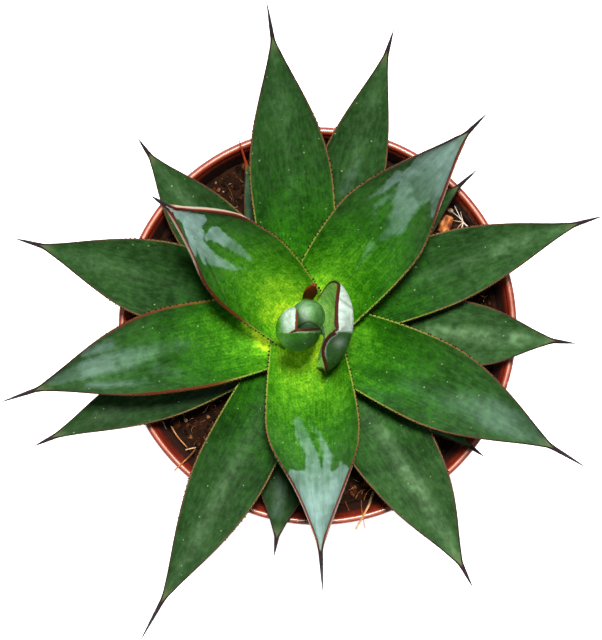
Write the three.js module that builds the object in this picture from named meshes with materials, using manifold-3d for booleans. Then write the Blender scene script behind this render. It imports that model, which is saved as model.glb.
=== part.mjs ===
// A potted agave with broad dark leaves, in millimetres, +Z up.
// The origin is the centre of the pot's underside, on the surface it stands on.
// The plant grows a few millimetres to the left of the pot's axis, and its leaves follow one another
// round the stem by about 137.5 degrees, from the oldest near the soil to the rolled ones in the heart.
import * as THREE from 'three';
import { mergeVertices } from 'three/addons/utils/BufferGeometryUtils.js';
import Module from 'manifold-3d';

const wasm = await Module();
wasm.setup();

// Driving dimensions
const GAP = 0.3; // room between two pieces that lie against each other
const POT_HEIGHT = 112;
const RIM_RADIUS = 65; // outside of the rolled rim
const RIM_BEAD = 2.6; // width and height of the rolled rim
const POT_BASE_RADIUS = 46;
const POT_WALL = 1.2;
const POT_FLOOR = 1.8;
const COLLAR_HEIGHT = 14; // the band under the rim, a little thicker than the wall
const COLLAR_EXTRA = 0.7;
const DRAIN_COUNT = 8;
const DRAIN_RADIUS = 4.5;
const DRAIN_CIRCLE = 34;
const SOIL_LEVEL = 98.6;
const SOIL_DOME = 1.2; // how far the soil sinks from the stem to the wall
const PLANT_X = -4.2;
const PLANT_Y = 0.3;
const STEM_PROFILE = [[5, 70], [8.5, 84], [9, 104], [8.4, 113], [7.2, 123], [5.4, 131], [3, 134.5]];
const LEAF_ROOT = 1.8; // how deep in the stem the middle line of an open leaf starts

// How a leaf narrows and thickens along its length
const LEAF_NECK = 0.76; // width at the base over the greatest width
const NECK_SWELL = 1.3; // a higher power keeps the neck narrow for longer
const TAPER_START = 2; // a higher power keeps the outer half broad for longer
const TAPER_END = 1.4; // a higher power draws the end out to a longer point
const THICKNESS_LEAST = 1.2; // an open leaf is this thick at its base,
const THICKNESS_PER_WIDTH = 0.12; // and this much thicker for each millimetre of width
const THINNING = 0.8; // power by which the blade thins towards its point
const LENS = 0.7; // power by which it thins towards its margins
const MARGIN_THICKNESS = 0.8;
const SPINE_RADIUS = 0.9;
const SPINE_THICKNESS = 1.7; // thickness of the spine over its radius
const POINT_RADIUS = 0.15;

// The open leaves, oldest first. azimuth is the side that a leaf grows to, in degrees round +Z from +X,
// baseZ the height of its base, tip the point of its spine, width the greatest width of the flattened
// blade, bow how far its middle swings to the left, cup the half angle of its gutter in degrees and
// spine the length of its spine.
const OPEN_LEAVES = [
  { azimuth: 109, baseZ: 103, tip: [-26, 62, 121], width: 12, bow: 0, cup: 30, spine: 5 },
  { azimuth: 324, baseZ: 104, tip: [53.5, -42, 121], width: 14, bow: 0, cup: 30, spine: 5 },
  { azimuth: 42, baseZ: 105, tip: [52, 50.5, 123], width: 16, bow: 0, cup: 30, spine: 8 },
  { azimuth: 262, baseZ: 106, tip: [-14, -73.5, 125], width: 18, bow: 0, cup: 30, spine: 5 },
  { azimuth: 132, baseZ: 107.5, tip: [-57.5, 60, 128], width: 18.5, bow: 2, cup: 30, spine: 6 },
  { azimuth: 356, baseZ: 109, tip: [82, -5.5, 132], width: 21, bow: 0.8, cup: 30, spine: 6.5 },
  { azimuth: 204, baseZ: 110, tip: [-90, -38, 134], width: 20.5, bow: -0.6, cup: 30, spine: 6 },
  { azimuth: 73.5, baseZ: 111.5, tip: [23.5, 93.5, 138], width: 22.5, bow: -0.6, cup: 33, spine: 7 },
  { azimuth: 303, baseZ: 113, tip: [48.5, -82, 141], width: 24.5, bow: 2.2, cup: 35, spine: 7 },
  { azimuth: 163, baseZ: 114, tip: [-95, 27.5, 144], width: 25.5, bow: -0.2, cup: 35, spine: 8 },
  { azimuth: 20, baseZ: 116, tip: [88.5, 34, 148], width: 24, bow: 0.8, cup: 35, spine: 8 },
  { azimuth: 242, baseZ: 118, tip: [-55, -97.5, 153], width: 25.5, bow: 0.2, cup: 35, spine: 14 },
  { azimuth: 97, baseZ: 119.5, tip: [-16, 100, 157], width: 26.5, bow: -1.3, cup: 35, spine: 11.5 },
  { azimuth: 333, baseZ: 121.5, tip: [81.5, -43, 163], width: 29, bow: 1.8, cup: 40, spine: 12 },
  { azimuth: 194, baseZ: 124, tip: [-96.5, -23, 170], width: 30, bow: -3.3, cup: 40, spine: 12 },
  { azimuth: 49.5, baseZ: 126.5, tip: [50, 63.5, 182], width: 32, bow: 1.5, cup: 45, spine: 9.5 },
  { azimuth: 274, baseZ: 129.5, tip: [1, -78.5, 188], width: 31.5, bow: 0.5, cup: 45, spine: 15 },
  { azimuth: 140, baseZ: 132.5, tip: [-49, 38, 200], width: 29.5, bow: -1.8, cup: 48, spine: 8 },
];
const OPEN_SAG = 2; // how far an open leaf hangs below the straight line from its base to its point
const OPEN_WIDEST = 0.41; // where along its length an open leaf is widest
const OPEN_CUP = 50; // a young leaf's gutter is deeper than this half angle

// Two young leaves beside the heart: one bulges out on the right and leans back over the heart, the
// other is a narrow one behind it, with a broad horny tip.
const LEANING_LEAF = {
  azimuth: 356, baseZ: 133, tip: [3.8, -1.3, 197], width: 29, bow: 1, cup: 56, spine: 4,
  inset: 7.5, thick: 2.2, sag: 5.2, widest: 0.42,
};
const POINTED_LEAF = {
  azimuth: 80, baseZ: 134, tip: [-1.5, 12.1, 184], width: 5.5, bow: 0, cup: 30, spine: 3,
  inset: 8.2, thick: 1.6, sag: 0, widest: 0.5,
};

// The heart: a leaf wrapped round the bud like a pointed hood that is open to the upper right, and the
// rolled bud that shows in the opening
const WRAP = {
  azimuth: 222, halfAngle: 126, radius: 7, thick: 1.2, foot: [-5, 0.2, 135.5],
  top: [-6.5, -0.8, 195], shoulder: 0.4, topRadius: 1.4, closingAt: 0.85, topAngle: 57,
};
const BUD = { radius: 4.9, foot: [-3.6, 1.4, 136.5], top: [-2.4, 3.7, 189], shoulder: 0.6 };

// Litter on the soil, and straws over the rim
const CHIP_CENTRE = [42.4, 33.6, 99.3];
const CHIP_SIZE = [4.2, 6.4, 2.6];
const STRAW_RADIUS = 0.4;
const STRAWS = {
  straw_front: [[18.5, -55.2, 97.9], [17.3, -57.3, 106], [16.4, -58.8, 112.4], [12.4, -66.1, 112.5]],
  straw_left: [[-40.4, -40.8, 97.9], [-41.3, -42, 106], [-42.8, -43.4, 112.4], [-46.6, -47, 112.6]],
  fibre_left: [[-48.4, -33.2, 98.1], [-46.4, -36.5, 98.4], [-43.1, -40.3, 98.1]],
  rootlet_right: [[45.9, 28.2, 98.4], [47.4, 33.4, 98.7], [44.6, 37.6, 98.4], [42.9, 40, 98.3]],
};

const POT_SEGMENTS = 56;
const STEM_SEGMENTS = 24;

// Solids: a closed geometry as a manifold-3d solid, and back again
function solidOf(geometry) {
  const bare = geometry.clone();
  bare.deleteAttribute('normal');
  bare.deleteAttribute('uv');
  const merged = mergeVertices(bare, 1e-4);
  return new wasm.Manifold(new wasm.Mesh({
    numProp: 3,
    vertProperties: new Float32Array(merged.attributes.position.array),
    triVerts: new Uint32Array(merged.index.array),
  }));
}

function geometryOf(solid) {
  const { vertProperties, triVerts } = solid.getMesh();
  const geometry = new THREE.BufferGeometry();
  geometry.setAttribute('position', new THREE.BufferAttribute(vertProperties, 3));
  geometry.setIndex(new THREE.BufferAttribute(triVerts, 1));
  geometry.computeVertexNormals();
  return geometry;
}

// A lathe stands on +Y in three.js, and here on +Z
function lathe(profile, segments) {
  const points = profile.map(([radius, z]) => new THREE.Vector2(radius, z));
  return new THREE.LatheGeometry(points, segments).rotateX(Math.PI / 2);
}

function outwards(azimuth) {
  const angle = THREE.MathUtils.degToRad(azimuth);
  return new THREE.Vector3(Math.cos(angle), Math.sin(angle), 0);
}

function stemRadius(z) {
  const above = STEM_PROFILE.findIndex(([, height]) => height > z);
  const [lowRadius, low] = STEM_PROFILE[above - 1];
  const [highRadius, high] = STEM_PROFILE[above];
  return THREE.MathUtils.mapLinear(z, low, high, lowRadius, highRadius);
}

// Half the width of a flattened leaf over its greatest half width, at a share t of its length
function bladeShare(t, widest, end) {
  if (t < widest) {
    const rise = Math.sin((Math.PI / 2) * (t / widest));
    return LEAF_NECK + (1 - LEAF_NECK) * rise ** NECK_SWELL;
  }
  const fall = Math.min((t - widest) / (end - widest), 1);
  return (1 - fall ** TAPER_START) ** TAPER_END;
}

// A leaf is a box bent by this formula: the box's x runs across the blade, its y through the blade and
// its z along it. The cross-section is an arc, the gutter, and it is thickest on the middle line.
function leafGeometry(leaf, grow = 0) {
  const columns = leaf.cup > OPEN_CUP ? 8 : 4;
  const rows = 12;
  const { azimuth, baseZ, tip, width, bow, cup, spine } = leaf;
  const inset = leaf.inset ?? stemRadius(baseZ) - LEAF_ROOT;
  const thick = leaf.thick ?? THICKNESS_LEAST + THICKNESS_PER_WIDTH * width;
  const sag = leaf.sag ?? OPEN_SAG;
  const widest = leaf.widest ?? OPEN_WIDEST;
  const out = outwards(azimuth);
  const left = new THREE.Vector3(-out.y, out.x, 0);
  const base = new THREE.Vector3(PLANT_X, PLANT_Y, baseZ).addScaledVector(out, inset);
  const chord = new THREE.Vector3(...tip).sub(base);
  const end = 1 - spine / chord.length();
  const heading = chord.clone().normalize();
  const side = left.clone().addScaledVector(heading, -left.dot(heading)).normalize();
  const bend = side.clone().multiplyScalar(bow)
    .addScaledVector(new THREE.Vector3().crossVectors(heading, side), -sag);

  const box = new THREE.BoxGeometry(2, 1, 1, columns, 1, rows);
  const place = box.attributes.position;
  for (let i = 0; i < place.count; i += 1) {
    const v = place.getX(i);
    const upper = place.getY(i) > 0;
    const t = place.getZ(i) + 0.5;
    const centre = base.clone().addScaledVector(chord, t).addScaledVector(bend, 4 * t * (1 - t));
    const forward = chord.clone().addScaledVector(bend, 4 * (1 - 2 * t)).normalize();
    const across = left.clone().addScaledVector(forward, -left.dot(forward)).normalize();
    const up = new THREE.Vector3().crossVectors(forward, across);
    const share = bladeShare(t, widest, end);
    const needle = Math.max(SPINE_RADIUS * Math.min((1 - t) / (1 - end), 1), POINT_RADIUS);
    const half = Math.hypot((share * width) / 2, needle) + grow;
    const angle = THREE.MathUtils.degToRad(cup);
    const radius = half / angle;
    const middle = thick * (1 - t) ** THINNING * share + SPINE_THICKNESS * needle;
    const edge = Math.min(MARGIN_THICKNESS, middle);
    const depth = edge + (middle - edge) * (1 - v * v) ** LENS;
    const ring = upper ? radius - grow : radius + depth + grow;
    centre.addScaledVector(across, ring * Math.sin(angle * v));
    centre.addScaledVector(up, radius - ring * Math.cos(angle * v));
    place.setXYZ(i, centre.x, centre.y, centre.z);
  }
  return box;
}

// The radius of a bullet shape over its full radius, at a share t of its height: it swells a little from
// its foot to its shoulder and rounds off above
function bulletShare(t, shoulder, topShare) {
  const footShare = 0.86;
  if (t < shoulder) return footShare + (1 - footShare) * Math.sin((Math.PI / 2) * (t / shoulder));
  const rise = (t - shoulder) / (1 - shoulder);
  return topShare + (1 - topShare) * Math.sqrt(Math.max(1 - rise ** 2.2, 0));
}

// The wrapping leaf: a box bent round the heart's axis, with its margins on either side of the opening
function wrapGeometry(grow = 0) {
  const foot = new THREE.Vector3(...WRAP.foot);
  const rise = new THREE.Vector3(...WRAP.top).sub(foot);
  const box = new THREE.BoxGeometry(2, 1, 1, 14, 1, 12);
  const place = box.attributes.position;
  for (let i = 0; i < place.count; i += 1) {
    const inner = place.getY(i) > 0;
    const t = place.getZ(i) + 0.5;
    const radius = WRAP.radius * bulletShare(t, WRAP.shoulder, WRAP.topRadius / WRAP.radius);
    const thickness = Math.min(WRAP.thick, 0.6 * radius);
    const ring = inner ? radius - thickness - grow : radius + grow;
    const closing = THREE.MathUtils.clamp((t - WRAP.closingAt) / (1 - WRAP.closingAt), 0, 1);
    const spread = THREE.MathUtils.lerp(WRAP.halfAngle, WRAP.topAngle, closing);
    const margin = THREE.MathUtils.radToDeg(grow / radius);
    const point = foot.clone().addScaledVector(rise, t);
    point.addScaledVector(outwards(WRAP.azimuth + place.getX(i) * (spread + margin)), ring);
    place.setXYZ(i, point.x, point.y, point.z);
  }
  return box;
}

function budGeometry() {
  const steps = 12;
  const foot = new THREE.Vector3(...BUD.foot);
  const rise = new THREE.Vector3(...BUD.top).sub(foot);
  const profile = [[0, 0]];
  for (let i = 0; i <= steps; i += 1) {
    profile.push([i < steps ? BUD.radius * bulletShare(i / steps, BUD.shoulder, 0) : 0, i / steps]);
  }
  // The bullet's height is 1 here, and leans to the upper right as it is sheared to its full height
  const lean = new THREE.Matrix4().set(
    1, 0, rise.x, foot.x,
    0, 1, rise.y, foot.y,
    0, 0, rise.z, foot.z,
    0, 0, 0, 1,
  );
  return lathe(profile, STEM_SEGMENTS).applyMatrix4(lean);
}

function stemGeometry(grow = 0) {
  const last = STEM_PROFILE.length - 1;
  const ends = [
    [0, STEM_PROFILE[0][1] - grow],
    [STEM_PROFILE[0][0] + grow, STEM_PROFILE[0][1] - grow],
    [STEM_PROFILE[last][0] + grow, STEM_PROFILE[last][1] + grow],
    [0, STEM_PROFILE[last][1] + grow],
  ];
  const sides = STEM_PROFILE.slice(1, last).map(([radius, z]) => [radius + grow, z]);
  return lathe([ends[0], ends[1], ...sides, ends[2], ends[3]], STEM_SEGMENTS)
    .translate(PLANT_X, PLANT_Y, 0);
}

// The wall's inside radius at a height
function potInside(z) {
  const top = RIM_RADIUS - RIM_BEAD;
  const base = POT_BASE_RADIUS - POT_WALL;
  return base + ((top - base) * z) / POT_HEIGHT;
}

function potSolid() {
  const collarZ = POT_HEIGHT - COLLAR_HEIGHT;
  const beadRadius = RIM_BEAD / 2;
  const beadCentre = [RIM_RADIUS - beadRadius, POT_HEIGHT - beadRadius];
  const bead = [];
  for (let i = 0; i <= 6; i += 1) {
    const angle = -Math.PI / 4 + (i / 6) * Math.PI * 1.25;
    bead.push([beadCentre[0] + beadRadius * Math.cos(angle), beadCentre[1] + beadRadius * Math.sin(angle)]);
  }
  const outside = (z, extra) => [potInside(z) + POT_WALL + extra, z];
  const wall = lathe([
    [0, 0],
    [POT_BASE_RADIUS - 2, 0],
    [POT_BASE_RADIUS - 0.5, 0.6],
    outside(2.4, 0),
    outside(collarZ - 1, 0),
    outside(collarZ, COLLAR_EXTRA),
    outside(POT_HEIGHT - RIM_BEAD - 0.4, COLLAR_EXTRA),
    ...bead,
    [potInside(POT_FLOOR + 1.5), POT_FLOOR + 1.5],
    [potInside(POT_FLOOR) - 1.5, POT_FLOOR],
    [0, POT_FLOOR],
  ], POT_SEGMENTS);
  let solid = solidOf(wall);
  for (let i = 0; i < DRAIN_COUNT; i += 1) {
    const angle = (i / DRAIN_COUNT) * 2 * Math.PI;
    const hole = new THREE.CylinderGeometry(DRAIN_RADIUS, DRAIN_RADIUS, 4 * POT_FLOOR, 14)
      .rotateX(Math.PI / 2)
      .translate(DRAIN_CIRCLE * Math.cos(angle), DRAIN_CIRCLE * Math.sin(angle), 0);
    solid = solid.subtract(solidOf(hole));
  }
  return solid;
}

function soilSolid() {
  const bottom = POT_FLOOR + GAP;
  const edge = (z) => [potInside(z) - GAP, z];
  const block = lathe([
    [0, bottom],
    [potInside(bottom) - 2.2, bottom],
    edge(bottom + 2.4),
    edge(SOIL_LEVEL - SOIL_DOME),
    [40, SOIL_LEVEL - 0.4],
    [20, SOIL_LEVEL],
    [0, SOIL_LEVEL],
  ], POT_SEGMENTS);
  return solidOf(block).subtract(solidOf(stemGeometry(GAP)));
}

// A straw: a small polygon pushed along a curve through its points
function strawGeometry(points) {
  const path = new THREE.CatmullRomCurve3(points.map((p) => new THREE.Vector3(...p)));
  const section = new THREE.Shape();
  section.absarc(0, 0, STRAW_RADIUS, 0, 2 * Math.PI);
  return new THREE.ExtrudeGeometry(section, { steps: 9, curveSegments: 3, extrudePath: path });
}

function chipGeometry() {
  const chip = new THREE.BoxGeometry(...CHIP_SIZE, 2, 2, 1);
  const place = chip.attributes.position;
  for (let i = 0; i < place.count; i += 1) {
    const narrow = 1 - 0.35 * Math.abs(place.getY(i) / CHIP_SIZE[1]) * 2;
    place.setX(i, place.getX(i) * narrow);
    place.setZ(i, place.getZ(i) * (1 - 0.25 * Math.abs(place.getX(i) / CHIP_SIZE[0]) * 2));
  }
  return chip.rotateZ(THREE.MathUtils.degToRad(-22)).translate(...CHIP_CENTRE);
}

// Finishes
const finish = (color, roughness) => new THREE.MeshStandardMaterial({ color, roughness, metalness: 0 });
const potPlastic = finish(0xb8603f, 0.35);
const peat = finish(0x2b1d14, 0.95);
const stemFlesh = finish(0xc9d48a, 0.6);
const oldLeaf = finish(0x2f5a2f, 0.4);
const youngLeaf = finish(0x6aa32c, 0.4);
const bark = finish(0xb5672c, 0.85);
const straw = finish(0xc9a878, 0.8);

const plant = new THREE.Group();

function add(name, solid, material) {
  const mesh = new THREE.Mesh(geometryOf(solid), material);
  mesh.name = name;
  plant.add(mesh);
}

add('pot', potSolid(), potPlastic);
add('soil', soilSolid(), peat);
add('stem', solidOf(stemGeometry()), stemFlesh);

// The leaves are made from the heart outwards. Each older leaf gives way to the younger ones that lie on
// its base, and to the stem, so that all of them nest with a small gap.
const younger = [solidOf(stemGeometry(GAP))];

function nest(solid, grown) {
  const nested = younger.reduce((rest, other) => rest.subtract(other), solid);
  younger.push(grown);
  return nested;
}

const openTotal = OPEN_LEAVES.length;
const heartName = (index, word) => `leaf_${openTotal + index}_${word}`;
const heart = [
  [heartName(3, 'outer_wrap'), solidOf(wrapGeometry()), solidOf(wrapGeometry(GAP))],
  [heartName(4, 'rolled_bud'), solidOf(budGeometry()), null],
  [heartName(2, 'pointed'), solidOf(leafGeometry(POINTED_LEAF)), solidOf(leafGeometry(POINTED_LEAF, GAP))],
  [heartName(1, 'leaning'), solidOf(leafGeometry(LEANING_LEAF)), solidOf(leafGeometry(LEANING_LEAF, GAP))],
];
heart.forEach(([name, solid, grown]) => {
  add(name, nest(solid, grown ?? solid), youngLeaf);
});

for (let i = openTotal - 1; i >= 0; i -= 1) {
  const leaf = OPEN_LEAVES[i];
  const name = `leaf_${String(i + 1).padStart(2, '0')}`;
  add(name, nest(solidOf(leafGeometry(leaf)), solidOf(leafGeometry(leaf, GAP))), oldLeaf);
}

add('bark_chip', solidOf(chipGeometry()), bark);
Object.entries(STRAWS).forEach(([name, points]) => {
  add(name, solidOf(strawGeometry(points)), straw);
});

export default plant;
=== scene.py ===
# %% [markdown]
# # An agave in a plastic pot, seen from above
#
# The real object is a young agave about 20 cm across. Eighteen open leaves follow one another round a
# short stem, and in the middle stand the youngest ones, still rolled round each other. The plant stands
# in a thin terracotta-coloured plastic pot with peaty soil.
#
# The CAD model gives the frame: every piece has its place, its size and its node there. This script
# keeps that frame and gives each node a finer surface and a real finish. The first step loads it.

import bpy
import numpy as np
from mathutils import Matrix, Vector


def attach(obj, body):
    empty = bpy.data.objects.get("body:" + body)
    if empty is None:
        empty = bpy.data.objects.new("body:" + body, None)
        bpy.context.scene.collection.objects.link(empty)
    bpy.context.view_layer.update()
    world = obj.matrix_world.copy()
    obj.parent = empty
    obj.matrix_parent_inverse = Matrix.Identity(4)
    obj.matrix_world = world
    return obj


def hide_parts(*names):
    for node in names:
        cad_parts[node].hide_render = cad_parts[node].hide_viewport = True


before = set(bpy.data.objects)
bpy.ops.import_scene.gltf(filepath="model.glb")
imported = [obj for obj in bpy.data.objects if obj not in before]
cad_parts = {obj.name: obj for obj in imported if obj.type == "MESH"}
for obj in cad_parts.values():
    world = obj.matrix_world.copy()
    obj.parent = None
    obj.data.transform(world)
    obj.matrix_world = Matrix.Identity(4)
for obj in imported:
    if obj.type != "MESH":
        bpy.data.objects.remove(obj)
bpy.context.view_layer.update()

# %% [markdown]
# ## The camera
#
# The photographer held the camera straight above the plant, with the top of the picture towards +Y.
# The camera comes before the pieces, because the wax patches on some leaves are easiest to describe as
# one sees them from there: `seen_from_above` says where in the picture a point of the plant lies.

# %% Camera
MM = 0.001
PICTURE = (602, 640)  # width and height in pixels
SENSOR = 36.0
DISTANCE = 800.0  # from the camera down to the pot's rim, which is 112 mm high
CAMERA_PLACE = np.array([-5.43, 1.97, 112.0 + DISTANCE])
MM_PER_PIXEL = 0.3258  # at the height of the rim

camera_data = bpy.data.cameras.new("camera_above")
camera_data.sensor_width = SENSOR
camera_data.lens = SENSOR * DISTANCE / (MM_PER_PIXEL * PICTURE[1])
camera_data.clip_start = 0.01
camera_data.clip_end = 20.0
camera = bpy.data.objects.new("camera_above", camera_data)
camera.location = CAMERA_PLACE * MM
scene = bpy.context.scene
scene.collection.objects.link(camera)
scene.camera = camera


def seen_from_above(points):
    """Where points in mm lie in the picture, in pixels from its upper left corner.

    Formula: the sideways distance from the camera's axis, divided by the pixel size at that depth.
    """
    pixel = MM_PER_PIXEL * (CAMERA_PLACE[2] - points[..., 2]) / DISTANCE
    across = (points[..., 0] - CAMERA_PLACE[0]) / pixel + PICTURE[0] / 2
    down = (CAMERA_PLACE[1] - points[..., 1]) / pixel + PICTURE[1] / 2
    return across, down


print("lens:", round(camera_data.lens, 2), "mm")

# %% [markdown]
# ## Small tools for nodes
#
# A material is a graph of nodes. With these helpers a recipe reads like a sum: a `Value` is what a node
# puts out, and `a * 0.5 + b` adds the Math nodes for it. Colours are three numbers as on a paint chart.


# %% Node helpers
def colour(red, green, blue):
    """A colour given as on a paint chart, 0 to 255, in the linear numbers that a shader works with."""
    chart = np.array([red, green, blue]) / 255.0
    linear = np.where(chart <= 0.04045, chart / 12.92, ((chart + 0.055) / 1.055) ** 2.4)
    return (*linear.tolist(), 1.0)


class Value:
    """An output of a node. value[key] is another output of the same node."""

    def __init__(self, socket):
        self.socket = socket

    def __getitem__(self, key):
        return Value(self.socket.node.outputs[key])

    def __add__(self, other):
        return maths("ADD", self, other)

    def __mul__(self, other):
        return maths("MULTIPLY", self, other)

    def __sub__(self, other):
        return maths("SUBTRACT", self, other)

    def __rsub__(self, other):
        return maths("SUBTRACT", other, self)

    def __truediv__(self, other):
        return maths("DIVIDE", self, other)


def home(*values):
    """The node tree of the first Value among values."""
    return next(value.socket.id_data for value in values if isinstance(value, Value))


def feed(socket, value):
    """Gives a socket what it works with: a link to a Value, a colour of the chart, or a plain setting."""
    if isinstance(value, Value):
        home(value).links.new(value.socket, socket)
    else:
        socket.default_value = colour(*value) if isinstance(value, tuple) and len(value) == 3 else value


def put(tree, kind, inputs=None, **settings):
    """Adds a node. settings are its own properties, inputs its sockets by name or number."""
    made = tree.nodes.new(kind)
    for setting, value in settings.items():
        setattr(made, setting, value)
    for key, value in (inputs or {}).items():
        feed(made.inputs[key], value)
    return Value(made.outputs[0])


def maths(operation, first, second=0.0):
    """first and second put through one operation, such as MULTIPLY or MAXIMUM."""
    return put(home(first, second), "ShaderNodeMath", {0: first, 1: second}, operation=operation)


def clamped(value):
    """The result of a Math node, kept between 0 and 1."""
    value.socket.node.use_clamp = True
    return value


def between(value, low, high, to_low=0.0, to_high=1.0):
    """value carried smoothly from the range low..high to the range to_low..to_high."""
    inputs = {0: value, 1: low, 2: high, 3: to_low, 4: to_high}
    return put(home(value), "ShaderNodeMapRange", inputs, interpolation_type="SMOOTHSTEP")


def blend(share, first, second, how="MIX"):
    """Two colours mixed: first where share is 0, second where it is 1."""
    inputs = {0: share, 6: first, 7: second}
    return put(home(share), "ShaderNodeMix", inputs, data_type="RGBA", blend_type=how)[2]


def ramp(value, *stops):
    """A colour read from a scale of stops, each one a position and the three numbers of a colour."""
    made = put(home(value), "ShaderNodeValToRGB", {0: value})
    elements = made.socket.node.color_ramp.elements
    while len(elements) < len(stops):
        elements.new(0.5)
    for element, (position, *shade) in zip(elements, stops):
        element.position = position
        element.color = colour(*shade)
    return made


def noise(vector, scale, detail=3.0, roughness=0.55):
    """Cloudy noise round 0.5. scale is the number of clouds in one unit of the vector."""
    inputs = {"Vector": vector, "Scale": scale, "Detail": detail, "Roughness": roughness}
    return put(home(vector), "ShaderNodeTexNoise", inputs)


def object_place(tree):
    """Where a point of the piece lies, in its own metres."""
    return put(tree, "ShaderNodeTexCoord")["Object"]


def reads(place, names):
    """Numbers that the mesh carries at its points, by name, read in the tree that place is in."""
    return {name: put(home(place), "ShaderNodeAttribute", attribute_name=name.lower())["Fac"]
            for name in names.split()}


def group(name, **inputs):
    """A node group and the Values of its inputs. Each input is a number or colour, or None for a vector."""
    tree = bpy.data.node_groups.new(name, "ShaderNodeTree")
    kinds = {type(None): "NodeSocketVector", float: "NodeSocketFloat", tuple: "NodeSocketColor"}
    for label, value in inputs.items():
        socket = tree.interface.new_socket(name=label, in_out="INPUT", socket_type=kinds[type(value)])
        if value is not None:
            feed(socket, value)
    ends = tree.nodes.new("NodeGroupInput").outputs
    return tree, [Value(ends[label]) for label in inputs]


def gives(tree, **outputs):
    """Ends a node group with an output for each of these Values."""
    for label, value in outputs.items():
        kind = "NodeSocketColor" if value.socket.type == "RGBA" else "NodeSocketFloat"
        tree.interface.new_socket(name=label, in_out="OUTPUT", socket_type=kind)
    ends = tree.nodes.new("NodeGroupOutput").inputs
    for label, value in outputs.items():
        feed(ends[label], value)


def use(group_tree, **inputs):
    """Places a node group in the tree that its inputs come from."""
    return put(home(*inputs.values()), "ShaderNodeGroup", inputs, node_tree=group_tree)


def plain_finish(name):
    """A fresh material and the inputs of its Principled shader."""
    made = bpy.data.materials.new(name)
    made.use_nodes = True
    return made, made.node_tree.nodes["Principled BSDF"].inputs


def new_finish(name):
    """A fresh material, the inputs of its Principled shader, and the Value of the place."""
    made, shader = plain_finish(name)
    return made, shader, object_place(made.node_tree)


def dress(shader, base, rough, height, strength, depth):
    """Feeds base colour, roughness, and the relief of a height from 0 to 1, where 1 is depth metres."""
    feed(shader["Base Color"], base)
    feed(shader["Roughness"], rough)
    relief = {"Strength": strength, "Distance": depth, "Height": height}
    feed(shader["Normal"], put(home(height), "ShaderNodeBump", relief))


print("node helpers ready")

# %% [markdown]
# ## Light and floor
#
# The shadows that the plant casts are short and fairly crisp and fall towards the bottom of the picture,
# so the main light is a small one, high and a little behind the plant. A window low behind the plant adds
# to the pale shine on the upright leaves of the heart, which is partly painted on them as a painted
# highlight, and a dim sky fills the shadows. The floor glows a little, as a lit white table does, so that
# it stays white where the plant shades it.


# %% Light and floor
def add_light(name, kind, place, aim, **settings):
    """A lamp at place, turned so that it shines at aim. Both are in metres."""
    data = bpy.data.lights.new(name, kind)
    for setting, value in settings.items():
        setattr(data, setting, value)
    lamp = bpy.data.objects.new(name, data)
    lamp.location = place
    direction = Vector(aim) - Vector(place)
    lamp.rotation_euler = direction.to_track_quat("-Z", "Y").to_euler()
    scene.collection.objects.link(lamp)


HEART = (-0.004, 0.0, 0.16)
add_light("key", "SUN", (0.03, 0.27, 1.6), HEART, energy=4.75, angle=0.12, color=(1.0, 0.985, 0.95))
add_light("window_behind", "AREA", (-0.12, 0.85, 0.42), HEART, energy=4.5, shape="RECTANGLE",
          size=1.3, size_y=0.75, color=(0.95, 0.98, 1.0))

scene.view_settings.view_transform = "Standard"
world = bpy.data.worlds.new("pale_room")
world.use_nodes = True
scene.world = world
SKY_TOP, SKY_EDGE = 0.05, 0.2  # brightness straight above and at the horizon
sky = world.node_tree.nodes["Background"].inputs
upwards = put(world.node_tree, "ShaderNodeSeparateXYZ", {0: put(world.node_tree, "ShaderNodeTexCoord")})[2]
feed(sky["Color"], (0.95, 0.97, 1.0, 1.0))
feed(sky["Strength"], between(upwards, 0.0, 0.9, SKY_EDGE, SKY_TOP))

FLOOR_HALF = 4.0
floor_mesh = bpy.data.meshes.new("floor")
floor_corners = [(x * FLOOR_HALF, y * FLOOR_HALF, 0) for x, y in ((-1, -1), (1, -1), (1, 1), (-1, 1))]
floor_mesh.from_pydata(floor_corners, [], [(0, 1, 2, 3)])
floor = bpy.data.objects.new("floor", floor_mesh)
scene.collection.objects.link(floor)
white_table, floor_shader = plain_finish("white_table")
for label, value in (("Base Color", (0.9, 0.9, 0.9, 1.0)), ("Roughness", 0.9),
                     ("Emission Color", (1.0, 1.0, 1.0, 1.0)), ("Emission Strength", 0.95)):
    feed(floor_shader[label], value)
floor_mesh.materials.append(white_table)

# %% [markdown]
# ## Effects that several finishes share
#
# Three effects come back in most finishes of a pot plant. Specks are the pale dots of dried water, wax
# and dust. Mottling is the slow change of tone that no grown or moulded surface is without. Grain is a
# set of fine ridges that run one way, as leaf fibres, straw and bark have them. Each is built once as a
# node group, and each material places it with its own values.

# %% Specks, mottling and grain
specks, (vector, scale, share, size) = group("specks", Vector=None, Scale=400.0, Share=0.1, Size=0.25)
cells = put(specks, "ShaderNodeTexVoronoi", {"Vector": vector, "Scale": scale})
chosen = put(specks, "ShaderNodeSeparateColor", {0: cells["Color"]})
dot = 1.0 - between(cells["Distance"] / (size * (chosen[1] + 0.4)), 0.6, 1.0)
gives(specks, Mask=dot * maths("LESS_THAN", chosen, share))

mottle, (vector, scale, low, high) = group("mottle", Vector=None, Scale=100.0, Low=0.35, High=0.65)
gives(mottle, Value=between(noise(vector, scale, 4.0, 0.6), low, high))

grain, (across, along, fineness, stretch) = group("grain", Across=0.0, Along=0.0, Fineness=3.0, Stretch=12.0)
stretched = put(grain, "ShaderNodeCombineXYZ", {0: across * fineness, 1: along * fineness / stretch})
gives(grain, Height=noise(stretched, 1.0, 2.0))
print("groups:", [g.name for g in bpy.data.node_groups])
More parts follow.
